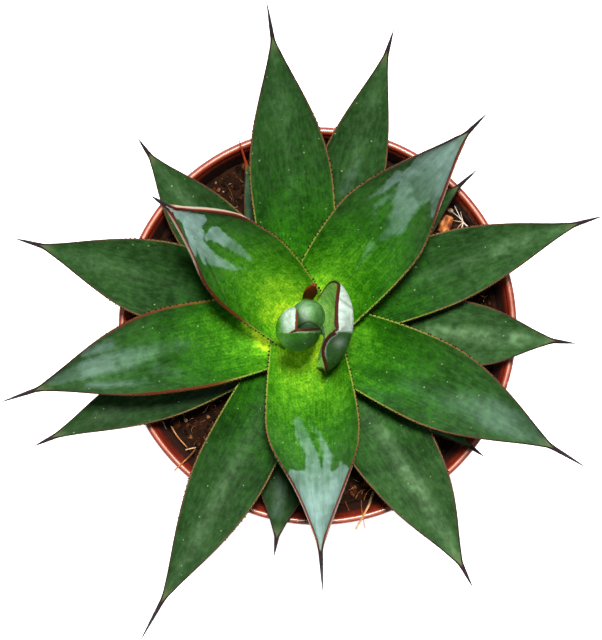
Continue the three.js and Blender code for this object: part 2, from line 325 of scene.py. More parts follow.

# %% [markdown]
# ## The leaf's horn
#
# An agave leaf has a horny edge that carries small teeth and runs out into the spine. Seen from above it
# is a thin pale line on the crest with a red-brown flank outside it. Towards the point of a young leaf
# the flank turns cream, partly bleached and partly a painted highlight where a curled margin catches the
# light, and the crest reddens. One could model the horn as a strip of its own, but on the plant it fades
# into the green, so it is painted, by the distance `edge` from the crest in mm, `rise` along the leaf,
# `under`, which is 0 on the upper face and 1 below, and by how much `bleach` or `red` it has.

# %% Horn group
horn, (edge, rise, under, tooth, bleach, red, wobble) = group(
    "horn", Edge=0.0, Rise=0.0, Under=0.0, Tooth=0.0, Bleach=0.0, Red=0.0, Wobble=0.5)
crest = ramp(rise, (0.0, 146, 184, 60), (0.26, 138, 154, 60), (0.46, 130, 102, 58),
             (0.66, 98, 64, 42), (0.8, 66, 38, 28), (0.92, 44, 26, 26))
flank = ramp(rise, (0.0, 120, 150, 56), (0.22, 104, 104, 42), (0.4, 84, 44, 24),
             (0.62, 66, 30, 20), (0.85, 46, 26, 26))
# cream on the flank near the point: partly bleached horn, partly a painted highlight on a curled margin
bleach_and_highlight_share = between(rise, 0.6, 0.76) * between(rise, 1.0, 0.93) * bleach
flank = blend(bleach_and_highlight_share, flank, (176, 150, 130))
crest = blend(clamped(bleach_and_highlight_share * 1.6), crest, (104, 36, 26))
over_red = clamped(bleach_and_highlight_share - 1.0) * 0.5
both = blend(between(under - over_red, 0.4, 0.75), crest, flank)
spine = ramp(rise - 1.0, (0.0, 44, 30, 32), (0.06, 42, 40, 46), (0.2, 84, 82, 90))
both = blend(between(rise, 0.96, 1.03), both, spine)
both = blend(red, both, (90, 28, 9))
# a red above 1 paints the horn a brighter red: on the pointed leaf, painted light that lifts its shade
both = blend(clamped(red - 1.0), both, (160, 52, 28))
both = blend(tooth, both, (52, 28, 14))
wide = between(under, 0.1, 0.6) * (maths("MINIMUM", bleach_and_highlight_share, 1.0) * 0.35 + 0.3) + 0.02
wide = (wide + bleach_and_highlight_share * between(under, 0.0, 0.1, 1.5, 0.0)) * (wobble + 0.5)
near = between(edge - (wide + between(rise, 0.95, 1.0, 0.0, 0.6)), 0.1, -0.1)
covered = maths("MAXIMUM", near, between(rise, 0.985, 1.0))
gives(horn, Color=both, Mask=maths("MAXIMUM", covered, tooth))
print("horn group:", len(horn.nodes), "nodes")

# %% [markdown]
# ## The leaf's skin
#
# Young leaves are lime green at the foot and turn deep green outwards; old leaves are dark all over. So
# each mesh carries `lime`, from 1 in the glowing heart to 0 outside. Old leaves have a dull film that is
# thickest along the middle, where its pale streak is partly a painted highlight. Over the green lies wax
# bloom, pale blue-grey, which the leaves rubbed off one another as they unrolled. `bloom` is the distance
# in mm inside the edge of a wax patch, and the shader frays that edge finer than the mesh is. `glow` is
# painted light that the skin gives off, and `dark` is painted shade on old leaves that lie in shade.

# %% Skin group
skin, (lime, rise, under, bloom, soft, wax_share, across, along, film_and_highlight_share, crease, glow, dark, haze,
       tint) = group("leaf_skin", Lime=0.0, Rise=0.0, Under=0.0, Bloom=-9.0, Soft=1.0, Wax=0.0, Across=0.0,
                     Along=0.0, Film=0.2, Crease=0.0, Glow=0.0, Dark=0.0, Haze=0.4, Tint=(146, 178, 170))
place = object_place(skin)
slow = use(mottle, Vector=place, Scale=70.0)
fast = use(mottle, Vector=place, Scale=420.0, Low=0.3, High=0.7)
fine = noise(place, 1500.0, 2.0)
fibres, broad, strokes, dull = (
    use(grain, Across=across, Along=along, Fineness=fineness, Stretch=stretch)
    for fineness, stretch in ((1.6, 14.0), (0.3, 4.0), (0.8, 8.0), (0.9, 3.0)))

# the green
tone = lime + (slow - 0.5) * 0.14 + (fast - 0.5) * 0.16 + (fibres - 0.5) * 0.3
green = ramp(tone, (0.0, 22, 54, 14), (0.2, 28, 76, 12), (0.45, 48, 118, 12),
             (0.7, 90, 168, 28), (0.9, 150, 212, 40), (1.0, 198, 238, 48))
green = blend(between(fine, 0.3, 0.7, 0.0, 0.7), green, (150, 160, 130), "MULTIPLY")
green = blend(between(rise, 0.4, 1.0) * 0.4, green, (52, 88, 44))

# dust, and the film of old leaves, whose pale streak along the middle is partly a painted highlight
dusty = between(dull, 0.38, 0.66, 0.0, 0.2) + (slow + fast) * 0.06
dusty = dusty * between(rise, 0.2, 0.6) * between(fine, 0.3, 0.7, 0.4, 1.4)
green = blend(dusty, green, (84, 120, 76))
film = between(broad, 0.2, 0.8, 0.35, 1.0) * between(maths("ABSOLUTE", across), 0.0, 3.6, 1.0, 0.12)
film = film * between(slow, 0.1, 0.8, 0.4, 1.1) * between(rise, 0.25, 0.6)
film = film * between(rise, 0.75, 0.98, 1.2, 0.35) * (fast * 0.6 + 0.55) * film_and_highlight_share
green = blend(film, green, (128, 168, 118))
# printed creases darken the green, and so do the painted shadows that share this field
crease_and_shadow_share = crease * between(fast, 0.0, 1.0, 0.6, 1.0)
green = blend(crease_and_shadow_share, green, (70, 120, 70), "MULTIPLY")

# the wax
frayed = (bloom + (fibres * 0.6 + fast * 0.4 - 0.5)) / soft
wax = between(frayed, -0.15, 0.3) * between(slow, 0.0, 1.0, 0.75, 1.0) * (fast * 0.15 + 0.85)
wax = wax * between(strokes, 0.3, 0.7, 0.7, 1.05)
wax = wax * between(slow + broad * 0.6, 0.35, 1.1, between(soft, 1.2, 3.0, 1.0, 0.6), 1.15)
wax = clamped(wax * wax_share)
green = blend(wax, green, tint)

# painted shade on old leaves that lie in their neighbours' shade, the dry point, the lower face, dots and
# pits
green = blend(dark, green, (10, 26, 10))
green = blend(between(rise, 0.92, 0.985) * 0.25, green, (136, 140, 96))
green = blend(between(under, 0.5, 1.0) * haze, green, (70, 104, 62))
dots = use(specks, Vector=place, Scale=420.0, Share=0.35, Size=0.11)
green = blend(dots * 0.5, green, (170, 196, 140))
pits = use(specks, Vector=place, Scale=520.0, Share=0.1, Size=0.18)
green = blend(pits * 0.35, green, (16, 40, 18))

height = fibres * 0.6 + fast * 0.35 - crease_and_shadow_share * 0.8 + (dots - pits) * 0.3
# painted light: where `glow` is set, the skin gives off its own green as emission
shining = glow * between(slow, 0.0, 1.0, 0.8, 1.0)
gives(skin, Color=green, Light=blend(shining, (0, 0, 0), green),
      Roughness=wax * 0.16 + 0.36 + slow * 0.08, Height=height)
print("skin group:", len(skin.nodes), "nodes")


# %% Leaf finishes
def leaf_finish(name, dullness, shine, haze, wax_colour):
    """Skin with horn over it. dullness goes on top of the skin's roughness, shine is the reflection,
    and haze the share of grey on the lower face."""
    made, shader, place = new_finish(name)
    skin_fields = reads(place, "Lime Rise Under Bloom Soft Wax Across Along Film Crease Glow Dark")
    over = use(skin, **skin_fields, Haze=haze, Tint=wax_colour)
    shared = {key: skin_fields[key] for key in ("Rise", "Under")}
    rim = use(horn, **shared, **reads(place, "Edge Tooth Bleach Red"), Wobble=noise(place, 700.0, 2.0))
    rough = maths("MAXIMUM", over["Roughness"] + dullness, rim["Mask"] * 0.66)
    dress(shader, blend(rim["Mask"], over["Color"], rim["Color"]), rough, over["Height"], 0.5, 0.0003)
    # painted light: the skin's glow as emission, none on the horn
    feed(shader["Emission Color"], blend(rim["Mask"], over["Light"], (0, 0, 0)))
    feed(shader["Emission Strength"], 0.4)
    feed(shader["Specular IOR Level"], shine)
    return made


OPEN_SKIN = leaf_finish("open_leaf_skin", 0.0, 0.1, 0.25, (164, 196, 194))
# the heart's wax is whiter, as on the upright leaves it also paints the pale shine as a painted highlight
HEART_SKIN = leaf_finish("heart_leaf_skin", 0.08, 0.05, 0.0, (214, 232, 220))
print("finishes:", OPEN_SKIN.name, HEART_SKIN.name)

# %% [markdown]
# ## Shells
#
# Every piece here is a closed shell: points on a grid, the quads between them, and a fan of triangles
# where an end closes to a pole. The grid comes as whole numpy arrays, also for many copies at once, and a
# shell whose faces point inwards, which its signed volume tells, is turned round before it is used.


# %% Shell helpers
def smooth(low, high, value):
    """0 below low, 1 above high and an S curve between: 3s squared minus 2s cubed."""
    share = np.clip((value - low) / (high - low), 0.0, 1.0)
    return share * share * (3.0 - 2.0 * share)


def unit(vectors):
    """vectors with the length 1."""
    return vectors / np.linalg.norm(vectors, axis=-1, keepdims=True)


def ring(count):
    """count angles that go once round, in radians."""
    return np.arange(count) * 2 * np.pi / count


def on_circle(turn):
    """The points of a level circle of radius 1 at the angles turn."""
    return np.stack([np.cos(turn), np.sin(turn), 0 * turn], axis=-1)


def shell(points, quads, triangles, fields):
    """A closed surface: points (n, 3) in mm, faces, and one number per point for each field.

    Formula for the signed volume: the sum over all triangles of first . (second x third), over six.
    """
    split = np.concatenate([quads[:, [0, 1, 2]], quads[:, [0, 2, 3]], triangles])
    first, second, third = (points[split[:, i]] for i in range(3))
    if np.einsum("ij,ij->", first, np.cross(second, third)) < 0:
        quads, triangles = quads[:, ::-1], triangles[:, ::-1]
    return {"points": points, "quads": quads, "triangles": triangles, "fields": fields}


def tubes(rings, **fields):
    """Shells from rings of points, an array (copies, rings, around, 3), with a pole at each end.

    Formula: point (i, j) joins to (i, j+1), (i+1, j+1) and (i+1, j), where j runs round and closes. A pole
    is the middle of the end ring.
    """
    copies, count, around = rings.shape[:3]
    size = count * around + 2
    points = np.concatenate([rings.reshape(copies, -1, 3), rings[:, [0, -1]].mean(axis=2)], axis=1)
    start = np.arange(count - 1)[:, None] * around
    here = np.arange(around)
    after = (here + 1) % around
    last = (count - 1) * around
    quads = np.stack([start + here, start + after, start + around + after, start + around + here], axis=-1)
    triangles = np.concatenate([
        np.stack([after, here, np.full(around, size - 2)], axis=-1),
        np.stack([last + here, last + after, np.full(around, size - 1)], axis=-1),
    ])
    offsets = np.arange(copies)[:, None, None] * size
    whole = {}
    for name, values in fields.items():
        grid = np.broadcast_to(values, (copies, count, around))
        ends = grid[:, [0, -1]].mean(axis=2)
        whole[name] = np.concatenate([grid.reshape(copies, -1), ends], axis=1).ravel()
    quads = (quads.reshape(-1, 4) + offsets).reshape(-1, 4)
    return shell(points.reshape(-1, 3), quads, (triangles + offsets).reshape(-1, 3), whole)


def tube(rings, **fields):
    """One shell from an array (rings, around, 3)."""
    return tubes(rings[None], **fields)


def joined(shells):
    """Several shells as one. A field that a shell lacks is 0 there."""
    names = sorted({name for s in shells for name in s["fields"]})
    starts = np.cumsum([0] + [len(s["points"]) for s in shells])
    return {
        "points": np.concatenate([s["points"] for s in shells]),
        "quads": np.concatenate([s["quads"] + k for s, k in zip(shells, starts)]),
        "triangles": np.concatenate([s["triangles"] + k for s, k in zip(shells, starts)]),
        "fields": {n: np.concatenate([s["fields"].get(n, np.zeros(len(s["points"]))) for s in shells])
                   for n in names},
    }


def mesh_of(name, made):
    """A Blender mesh from a shell, in metres, smooth-shaded, with the fields as point attributes."""
    assert np.isfinite(made["points"]).all(), name
    mesh = bpy.data.meshes.new(name)
    quads, triangles = made["quads"], made["triangles"]
    corners = np.concatenate([quads.ravel(), triangles.ravel()]).astype(np.int32)
    starts = np.concatenate([np.arange(len(quads)) * 4, len(quads) * 4 + np.arange(len(triangles)) * 3])
    mesh.vertices.add(len(made["points"]))
    mesh.vertices.foreach_set("co", (made["points"] * MM).astype(np.float32).ravel())
    mesh.loops.add(len(corners))
    mesh.loops.foreach_set("vertex_index", corners)
    mesh.polygons.add(len(starts))
    mesh.polygons.foreach_set("loop_start", starts.astype(np.int32))
    mesh.polygons.foreach_set("use_smooth", np.ones(len(starts), bool))
    mesh.update(calc_edges=True)
    mesh.validate()
    for field, values in made["fields"].items():
        attribute = mesh.attributes.new(field, "FLOAT", "POINT")
        attribute.data.foreach_set("value", values.astype(np.float32))
    return mesh


def add_piece(node, made, finish):
    """The shell as an object at the origin that rides on the root and stands for its CAD node."""
    piece = bpy.data.objects.new(node, mesh_of(node, made))
    piece.data.materials.append(finish)
    scene.collection.objects.link(piece)
    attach(piece, "root")
    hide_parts(node)
    print(f"{node}: {2 * len(made['quads']) + len(made['triangles'])} triangles")
    return piece


def strand(points, radii, around=8, steps=9):
    """Rings of a thin round thing that follows points, with a radius at each of them.

    Formula: a Catmull-Rom curve, whose cubic between two points leaves along the line between their
    neighbours; at each place a circle stands square to the curve's direction.
    """
    points = np.array(points, float)
    padded = np.concatenate([[2 * points[0] - points[1]], points, [2 * points[-1] - points[-2]]])
    t = np.linspace(0, len(points) - 1, (len(points) - 1) * steps + 1)
    k = np.minimum(t.astype(int), len(points) - 2)
    f = (t - k)[:, None]
    a, b, c, d = (padded[k + i] for i in range(4))
    place = 0.5 * (2 * b + (c - a) * f + (2 * a - 5 * b + 4 * c - d) * f**2 + (3 * b - a - 3 * c + d) * f**3)
    along = unit(np.gradient(place, axis=0))
    aside = unit(np.cross(along, np.array([0.31, 0.17, 0.94])))  # any direction that no strand follows
    size = np.interp(t, np.arange(len(points)), radii)[:, None, None]
    turn = ring(around)[:, None]
    circle = aside[:, None] * np.cos(turn) + np.cross(along, aside)[:, None] * np.sin(turn)
    return place[:, None] + circle * size


# %% [markdown]
# ## The blade of a leaf
#
# A blade is one surface with an upper and a lower face. Its middle line leaves the stem, sags a little
# under its own weight and swings to one side. Across it the blade is a gutter, part of a circle, which
# deepens towards the point. One could sculpt twenty leaves, but they all follow the same growth, so one
# formula with a row of numbers for each leaf gives them all, and the numbers are the CAD's.

# %% The leaves' numbers
PLANT = np.array([-4.2, 0.3, 0.0])  # the stem's axis
STEM_RADII = np.array([5, 8.5, 9, 8.4, 7.2, 5.4, 3])
STEM_LEVELS = np.array([70, 84, 104, 113, 123, 131, 134.5])

# side it grows to in degrees, height of its foot, point of its spine, width, bow, half angle, spine,
# how lime green it is at the foot, and how much film it has, with a painted highlight along its middle
LEAVES = {
    "leaf_01": (109, 103, (-26, 62, 121), 14, 0.8, 30, 10, 0.10, 0.30),
    "leaf_02": (324, 104, (53.5, -42, 121), 14, 0, 30, 5, 0.12, 0.15),
    "leaf_03": (42, 105, (51.3, 50.4, 123), 16, 0, 30, 8, 0.15, 0.15),
    "leaf_04": (262, 106, (-14, -73.5, 125), 19, 0, 30, 5.5, 0.02, 0.16),
    "leaf_05": (132, 107.5, (-57.5, 60, 128), 22.8, 2.4, 30, 6, 0.16, 0.22),
    "leaf_06": (356, 109, (82, -5.5, 132), 23, 0.9, 30, 6.5, 0.28, 0.60),
    "leaf_07": (204, 110, (-90, -38, 134), 21.5, -0.6, 30, 6, 0.03, 0.10),
    "leaf_08": (73.5, 111.5, (23.8, 93.5, 138), 22.9, -0.1, 33, 7, 0.22, 0.15),
    "leaf_09": (303, 113, (48.5, -82, 141), 27.9, 2.5, 35, 7, 0.42, 0.66),
    "leaf_10": (163, 114, (-95, 27.5, 144), 26.6, -0.5, 35, 8, 0.22, 0.12),
    "leaf_11": (20, 116, (88.5, 34.3, 148), 24, 1.5, 35, 8, 0.42, 0.35),
    "leaf_12": (242, 118, (-55.3, -97.5, 153), 24.2, 0.7, 35, 14, 0.48, 0.26),
    "leaf_13": (97, 119.5, (-16, 100, 157), 26.9, -1.15, 35, 11.5, 0.54, 0.10),
    "leaf_14": (333, 121.5, (81.5, -43, 163), 28.3, 1.9, 40, 12, 0.67, 0.10),
    "leaf_15": (194, 124, (-96.5, -23, 170), 29.2, -2.3, 40, 12, 0.71, 0.16),
    "leaf_16": (49.5, 126.5, (50, 63.5, 182), 32, 1.7, 45, 9.5, 0.72, 0.03),
    "leaf_17": (274, 129.5, (1, -78.5, 188), 31.3, 0.3, 45, 15, 0.85, 0.00),
    "leaf_18": (140, 132.5, (-49, 38, 200), 29.3, -1.8, 48, 8, 0.83, 0.00),
    "leaf_19_leaning": (359, 133, (3.7, -1.3, 197), 28.7, 2.5, 38.2, 1.6, 0.50, 0.0),
    "leaf_20_pointed": (85, 134, (-1.5, 12.0, 184), 3.4, 0, 18, 3, 0.40, 0.0),
}
LIME, FILM_AND_HIGHLIGHT = 7, 8  # the places of the last two numbers
FOOT_DEPTH = 1.8  # how far inside the stem's surface a leaf's middle line starts
# where the foot is, thickness, sag, where it is widest, deepening and twist in degrees
ORDINARY = (None, 0, 2.0, 0.41, 0, 0)  # the foot is on the stem, and the width gives the thickness
SPECIAL = {
    "leaf_19_leaning": ((2.2, -3.2), 2.4, 4.8, 0.40, 38, -20),
    "leaf_20_pointed": ((-3.5, 8.5), 1.6, 0, 0.5, 0, 0),
}
CURL = {"leaf_13": 12, "leaf_15": 14, "leaf_16": 24, "leaf_17": 30, "leaf_18": 34}  # deepening
NEEDLE = {"leaf_01": 0.35, "leaf_19_leaning": 0.8}  # the spine's radius at its foot, 0.65 mm for the others
# by how much the right and the left half are broader near the point, and at which shares of the blade that
# starts, is whole and fades
FLARE = {
    "leaf_18": (0.23, -0.07, 0.55, 0.82, 0.84), "leaf_17": (-0.37, -0.14, 0.42, 0.85, 0.95),
    "leaf_16": (-0.1, -0.06, 0.5, 0.75, 0.88), "leaf_15": (0.0, -0.1, 0.3, 0.55, 0.95),
    "leaf_09": (0.09, 0.12, 0.55, 0.85, 0.97), "leaf_06": (0.3, 0.15, 0.55, 0.8, 0.97),
    "leaf_05": (0.06, 0.06, 0.5, 0.8, 0.95), "leaf_04": (0.35, 0.3, 0.5, 0.8, 0.97),
    "leaf_10": (0.0, 0.09, 0.4, 0.7, 0.96), "leaf_12": (-0.04, 0.0, 0.45, 0.75, 0.95),
}
NEEDLE_TURN = 1.44  # each face of the spine spans just less than half a circle; the margins close it
ROWS, COLUMNS = 132, 37
print(len(LEAVES), "leaves share the blade formula")


# %% The blade formula
def middle_line(name, t):
    """The middle line of a leaf at the shares t of its length, the directions left and up, its length.

    Formula: straight from foot to point, plus a parabola 4t(1-t) that swings by bow and sags. The twist
    turns left and up round the line, from nothing at the foot to all of it at the point.
    """
    azimuth, foot_z, tip, _, bow = LEAVES[name][:5]
    foot_place, _, sag, _, _, twist = SPECIAL.get(name, ORDINARY)
    out = on_circle(np.radians(azimuth))
    left = np.array([-out[1], out[0], 0.0])
    if foot_place is None:
        foot_place = (PLANT + out * (np.interp(foot_z, STEM_LEVELS, STEM_RADII) - FOOT_DEPTH))[:2]
    foot = np.array([*foot_place, foot_z])
    chord = np.array(tip, float) - foot
    heading = unit(chord)
    side = unit(left - heading * (left @ heading))
    swing = side * bow - np.cross(heading, side) * sag
    centre = foot + chord * t + swing * 4 * t * (1 - t)
    forward = unit(chord + swing * 4 * (1 - 2 * t))
    across = unit(left - forward * (forward @ left)[:, None])
    up = np.cross(forward, across)
    turned = np.radians(twist) * smooth(0.2, 1, t)
    across, up = across * np.cos(turned) + up * np.sin(turned), up * np.cos(turned) - across * np.sin(turned)
    return centre, across, up, np.linalg.norm(chord)


def width_share(t, widest, end):
    """Width over the greatest width. A sine swells the neck up to widest, and (1 - fall squared) to the
    power 1.4 draws the rest out to a point at end."""
    neck = 0.76 + 0.24 * np.sin(np.pi / 2 * np.clip(t / widest, 0, 1)) ** 1.3
    fall = np.clip((t - widest) / (end - widest), 0, 1)
    return np.where(t < widest, neck, (1 - fall**2) ** 1.4)


def blade_faces(name):
    """The upper and lower face of a leaf as grids (rows, columns, 3), and what is known of each point.

    Formula: at t along and v across, from -1 to 1, the upper face lies on a circle of the radius
    half width / sin(angle) at the angle v times the gutter's half angle. The lower face lies deeper by a
    lens-shaped thickness. Beyond `end` both go over into a round needle.
    """
    _, foot_z, _, width, _, cup, spine = LEAVES[name][:7]
    _, thick, _, widest, curl, _ = SPECIAL.get(name, ORDINARY)
    thick = thick or 1.2 + 0.12 * width
    t = np.linspace(0, 1, ROWS)[:, None]
    centre, across, up, length = middle_line(name, t)
    end = 1 - spine / length
    share = width_share(t, widest, end)
    needle = np.maximum(NEEDLE.get(name, 0.65) * np.clip((1 - t) / (1 - end), 0, 1) ** 0.7, 0.1)
    half = np.hypot(share * width / 2, needle)
    flat = np.radians(cup)
    angle = flat + np.radians(CURL.get(name, curl)) * smooth(0.5, 0.97, t / end)
    radius = half * np.sin(flat) / flat / np.sin(angle)

    v = np.linspace(-1, 1, COLUMNS)
    v = v + 0.12 * np.sin(np.pi * v) * (1 - np.abs(v))  # columns crowd towards the margins
    thickest = thick * (1 - t) ** 0.8 * share + 1.7 * needle
    edge = np.minimum(0.4 + 0.008 * width, thickest)
    depth = edge + (thickest - edge) * (1 - v**2) ** 0.7
    wave = 0.35 * np.sin(9 * t * np.pi + foot_z) * v**2 * share * smooth(0.1, 0.4, t) * (name not in SPECIAL)
    spin = angle * v
    slim = smooth(end - 0.05, end + 0.01, t)
    to_right, to_left, starts, whole, fades = FLARE.get(name, (0, 0, 0.5, 0.75, 0.85))
    flare = smooth(starts, whole, t / end) * smooth(1, fades, t / end) * np.where(v < 0, to_right, to_left)

    def face(reach, needle_up):
        sideways = (1 - slim) * reach * np.sin(spin) * (1 + flare) + slim * needle * np.sin(NEEDLE_TURN * v)
        lift = (1 - slim) * (radius - reach * np.cos(spin) + wave)
        lift = lift + slim * needle * (needle_up * np.cos(NEEDLE_TURN * v) - 0.85)
        return centre[:, None] + across[:, None] * sideways[..., None] + up[:, None] * lift[..., None]

    known = {"across": v * half, "along": t * length + 0 * v,
             "edge": (1 - np.abs(v)) * radius * angle, "rise": t / end + 0 * v}
    return face(radius, 1), face(radius + depth, -1), known


def rounded_blade(upper, lower, known):
    """A shell from an upper and a lower face, with half-round margins between them.

    Formula: the margin's points lie on a half circle over the two faces' edges, bulging outwards. The
    field `under` goes from 0 on the upper face over the margin to 1 on the lower one.
    """
    bends = np.radians([45, 90, 135])

    def margin_points(column, inner):
        top, bottom = upper[:, column], lower[:, column]
        middle, reach = (top + bottom) / 2, (top - bottom) / 2
        axis = unit(reach)
        outwards = top - upper[:, inner]
        outwards = unit(outwards - axis * (outwards * axis).sum(-1, keepdims=True))
        size = np.linalg.norm(reach, axis=-1, keepdims=True)
        return np.stack([middle + reach * np.cos(b) + outwards * size * np.sin(b) for b in bends], axis=1)

    left, right = margin_points(-1, -2), margin_points(0, 1)
    rings = np.concatenate([upper, left, lower[:, ::-1], right[:, ::-1]], axis=1)
    fields = {}
    for key, values in known.items():
        left, right = (np.repeat(values[:, [i]], 3, axis=1) * (key != "edge") for i in (-1, 0))
        fields[key] = np.concatenate([values, left, values[:, ::-1], right], axis=1)
    down = np.array([0.25, 0.5, 0.75])
    under = np.concatenate([np.zeros(upper.shape[1]), down, np.ones(lower.shape[1]), down[::-1]])
    fields["under"] = np.broadcast_to(under, rings.shape[:2])
    return rings, fields


print("leaf_17 is", round(float(blade_faces("leaf_17")[2]["along"].max()), 1), "mm long")

# %% [markdown]
# ## What is drawn on the leaves
#
# While the leaves are rolled, each one presses its edges and teeth into the next, and the wax keeps that
# print. On the three youngest open leaves it shows as tongues with crisp edges. A stroke is a line
# with a radius at each end, in the picture seen from above, and a point's `bloom` is how deep it lies
# inside the nearest stroke. On older leaves the edges have rubbed soft, so their strokes are vague.

# %% Strokes
# how strong the wax is and how soft its edge, then strokes: from x, y to x, y, radius at each end
WAX = {
    "leaf_18": (0.95, 1.0, [
        (166, 208, 186, 217, 2, 7), (184, 217, 201, 220, 6, 6), (190, 222, 199, 234, 6, 6),
        (186, 220, 194, 254, 4, 3), (208, 237, 215, 233, 4, 7), (215, 234, 238, 249, 7, 5),
        (238, 249, 250, 259, 5, 2), (199, 242, 213, 260, 4, 6), (213, 260, 233, 268, 6, 3),
        (233, 268, 246, 268, 3, 0.5), (195, 243, 205, 263, 3, 2),
    ]),
    "leaf_17": (0.72, 1.0, [
        (321, 548, 320, 525, 6, 14), (320, 525, 319, 500, 14, 22), (319, 500, 318, 490, 22, 24),
        (293, 474, 307, 482, 5, 11), (344, 469, 332, 486, 5, 11), (298, 422, 301, 432, 5, 5.5),
        (301, 432, 311, 452, 6, 6), (311, 452, 315, 478, 6, 10), (309, 423, 319, 434, 1, 2.5),
        (319, 434, 328, 455, 2.5, 4), (328, 455, 326, 480, 5, 4), (340.5, 462, 340, 480, 1, 6),
    ]),
    "leaf_16": (0.5, 1.6, [
        (472, 136, 440, 164, 5, 24), (440, 164, 418, 186, 24, 19), (416, 182, 405, 206, 17, 13),
        (405, 206, 396, 226, 12, 10), (396, 226, 381, 239, 8, 3), (398, 176, 382, 191, 6, 3),
        (382, 191, 366, 199, 3, 0.5), (392, 195, 376, 206, 2, 2.5), (377, 205, 371, 224, 2, 0.5),
        (441, 186, 433, 216, 9, 3), (372, 244, 357, 270, 3, 1),
    ]),
    "leaf_15": (0.28, 4.0, [
        (50, 382, 90, 368, 4, 10), (90, 368, 130, 358, 10, 12), (130, 358, 162, 348, 11, 6),
        (162, 349, 186, 343, 6, 3), (84, 353, 110, 345, 5, 6), (157, 369, 180, 374, 6, 3),
        (88, 386, 146, 382, 4, 3),
    ]),
    "leaf_14": (0.16, 8.0, [
        (546, 438, 492, 414, 9, 18), (492, 414, 446, 398, 18, 12), (446, 398, 404, 384, 11, 5),
        (364, 390, 394, 402, 3, 7),
    ]),
    "leaf_04": (0.14, 6.0, [(283, 478, 277, 512, 6, 6)]),
    "leaf_01": (0.1, 5.0, [(246, 182, 250, 216, 5, 9)]),
    "leaf_08": (0.35, 6.0, [(359, 160, 352, 176, 0.22, 0.30), (352, 176, 345, 190, 6, 5)]),
}
# dark creases that the neighbours printed, and, drawn the same way, painted shadow: the leaning leaf's
# shadow beside its foot on leaf_14 and leaf_17
CREASES_AND_SHADOWS = {
    "leaf_18": (0.6, 0.5, [
        (199, 242, 207, 261, 0.4, 0.8), (207, 261, 222, 294, 0.8, 0.6), (222, 294, 231, 310, 0.6, 0.3),
    ]),
    "leaf_15": (0.5, 4.0, [(152, 369, 180, 352, 2, 3), (180, 352, 209, 335, 3, 1)]),
    "leaf_14": (0.6, 5.0, [
        (357, 368, 400, 378, 2, 4), (400, 378, 452, 392, 4, 1), (350, 336, 350, 352, 5, 4),
    ]),
    "leaf_17": (0.55, 3.0, [(332, 370, 339, 382, 8, 5)]),
}
# painted light that stands for light through the thin pale bases and lifts the shade cast on them:
# centre x and y in the picture, radius, strength
PAINTED_GLOWS = {
    "leaf_15": [(270, 338, 15, 1.6), (267, 344, 6, 2.0), (245, 325, 8, 0.7), (257, 333, 8, 0.7)],
    "leaf_18": [(296, 298, 20, 0.42), (271, 337, 7, 4.0)],
    "leaf_17": [(300, 362, 20, 0.35), (276, 349, 7, 5.0)], "leaf_16": [(318, 292, 18, 0.9)],
    "leaf_14": [(352, 334, 16, 0.3)], "leaf_13": [(305, 290, 16, 0.6)],
}
# how much the horn turns cream near the point, partly bleached and partly a painted highlight, and how
# much browner and broader it is halfway up, on the right and on the left margin
BLEACH_AND_HIGHLIGHT = {"leaf_18": (1.6, 0.8), "leaf_17": (0.9, 0.6), "leaf_16": (0.8, 0.0)}
BROWN = {"leaf_18": (0.0, 1.0), "leaf_15": (0.7, 1.0)}
# painted shade: how much darker old leaves are painted where their neighbours shade them
PAINTED_SHADE = {"leaf_04": 0.42, "leaf_07": 0.3, "leaf_10": 0.05, "leaf_05": 0.16, "leaf_12": 0.16, "leaf_01": 0.2,
        "leaf_08": 0.1}
MM_PER_STROKE_PIXEL = 0.31  # at the height of the leaves


def stroke_field(table, name, points):
    """How strong and soft a leaf's strokes are, and how deep in mm each point lies inside the nearest
    one, less than 0 outside.

    Formula: project the point on the stroke's line, interpolate the radius there, subtract the distance.
    """
    x, y = seen_from_above(points)
    deepest = np.full(x.shape, -30.0)
    strength, softness, strokes = table.get(name, (0.0, 1.0, []))
    for x0, y0, x1, y1, r0, r1 in strokes:
        dx, dy = x1 - x0, y1 - y0
        share = np.clip(((x - x0) * dx + (y - y0) * dy) / (dx * dx + dy * dy), 0, 1)
        distance = np.hypot(x - x0 - share * dx, y - y0 - share * dy)
        deepest = np.maximum(deepest, (r0 + (r1 - r0) * share - distance) * MM_PER_STROKE_PIXEL)
    return strength, deepest, softness


def lime_field(name, points):
    """How lime green a point is, from 0 to 1. Formula: the leaf's own amount times the exponential of
    minus (distance from the heart / 50 mm) to the power 1.5, and a little more within 16 mm."""
    distance = np.hypot(points[..., 0] - PLANT[0], points[..., 1] - PLANT[1])
    return LEAVES[name][LIME] * np.exp(-((distance / 50) ** 1.5)) + 0.16 * np.exp(-((distance / 16) ** 3))


def painted_glow_field(name, points):
    """How much painted light a point gives off. Formula: the sum of a bell curve round each glowing place."""
    x, y = seen_from_above(points)
    bells = [strength * np.exp(-((x - at_x) ** 2 + (y - at_y) ** 2) / radius**2)
             for at_x, at_y, radius, strength in PAINTED_GLOWS.get(name, [])]
    return sum(bells, 0 * x)


print("leaves with wax strokes:", sorted(WAX))

# %% [markdown]
# ## Teeth
#
# The teeth are small dark hooks, about 1.5 mm apart, on the lower two thirds of the margin. Each is a
# cone of five sides that leans towards the leaf's point. They are set on the margin by arc length, and
# a seeded generator varies their size, so the same teeth grow in every run.


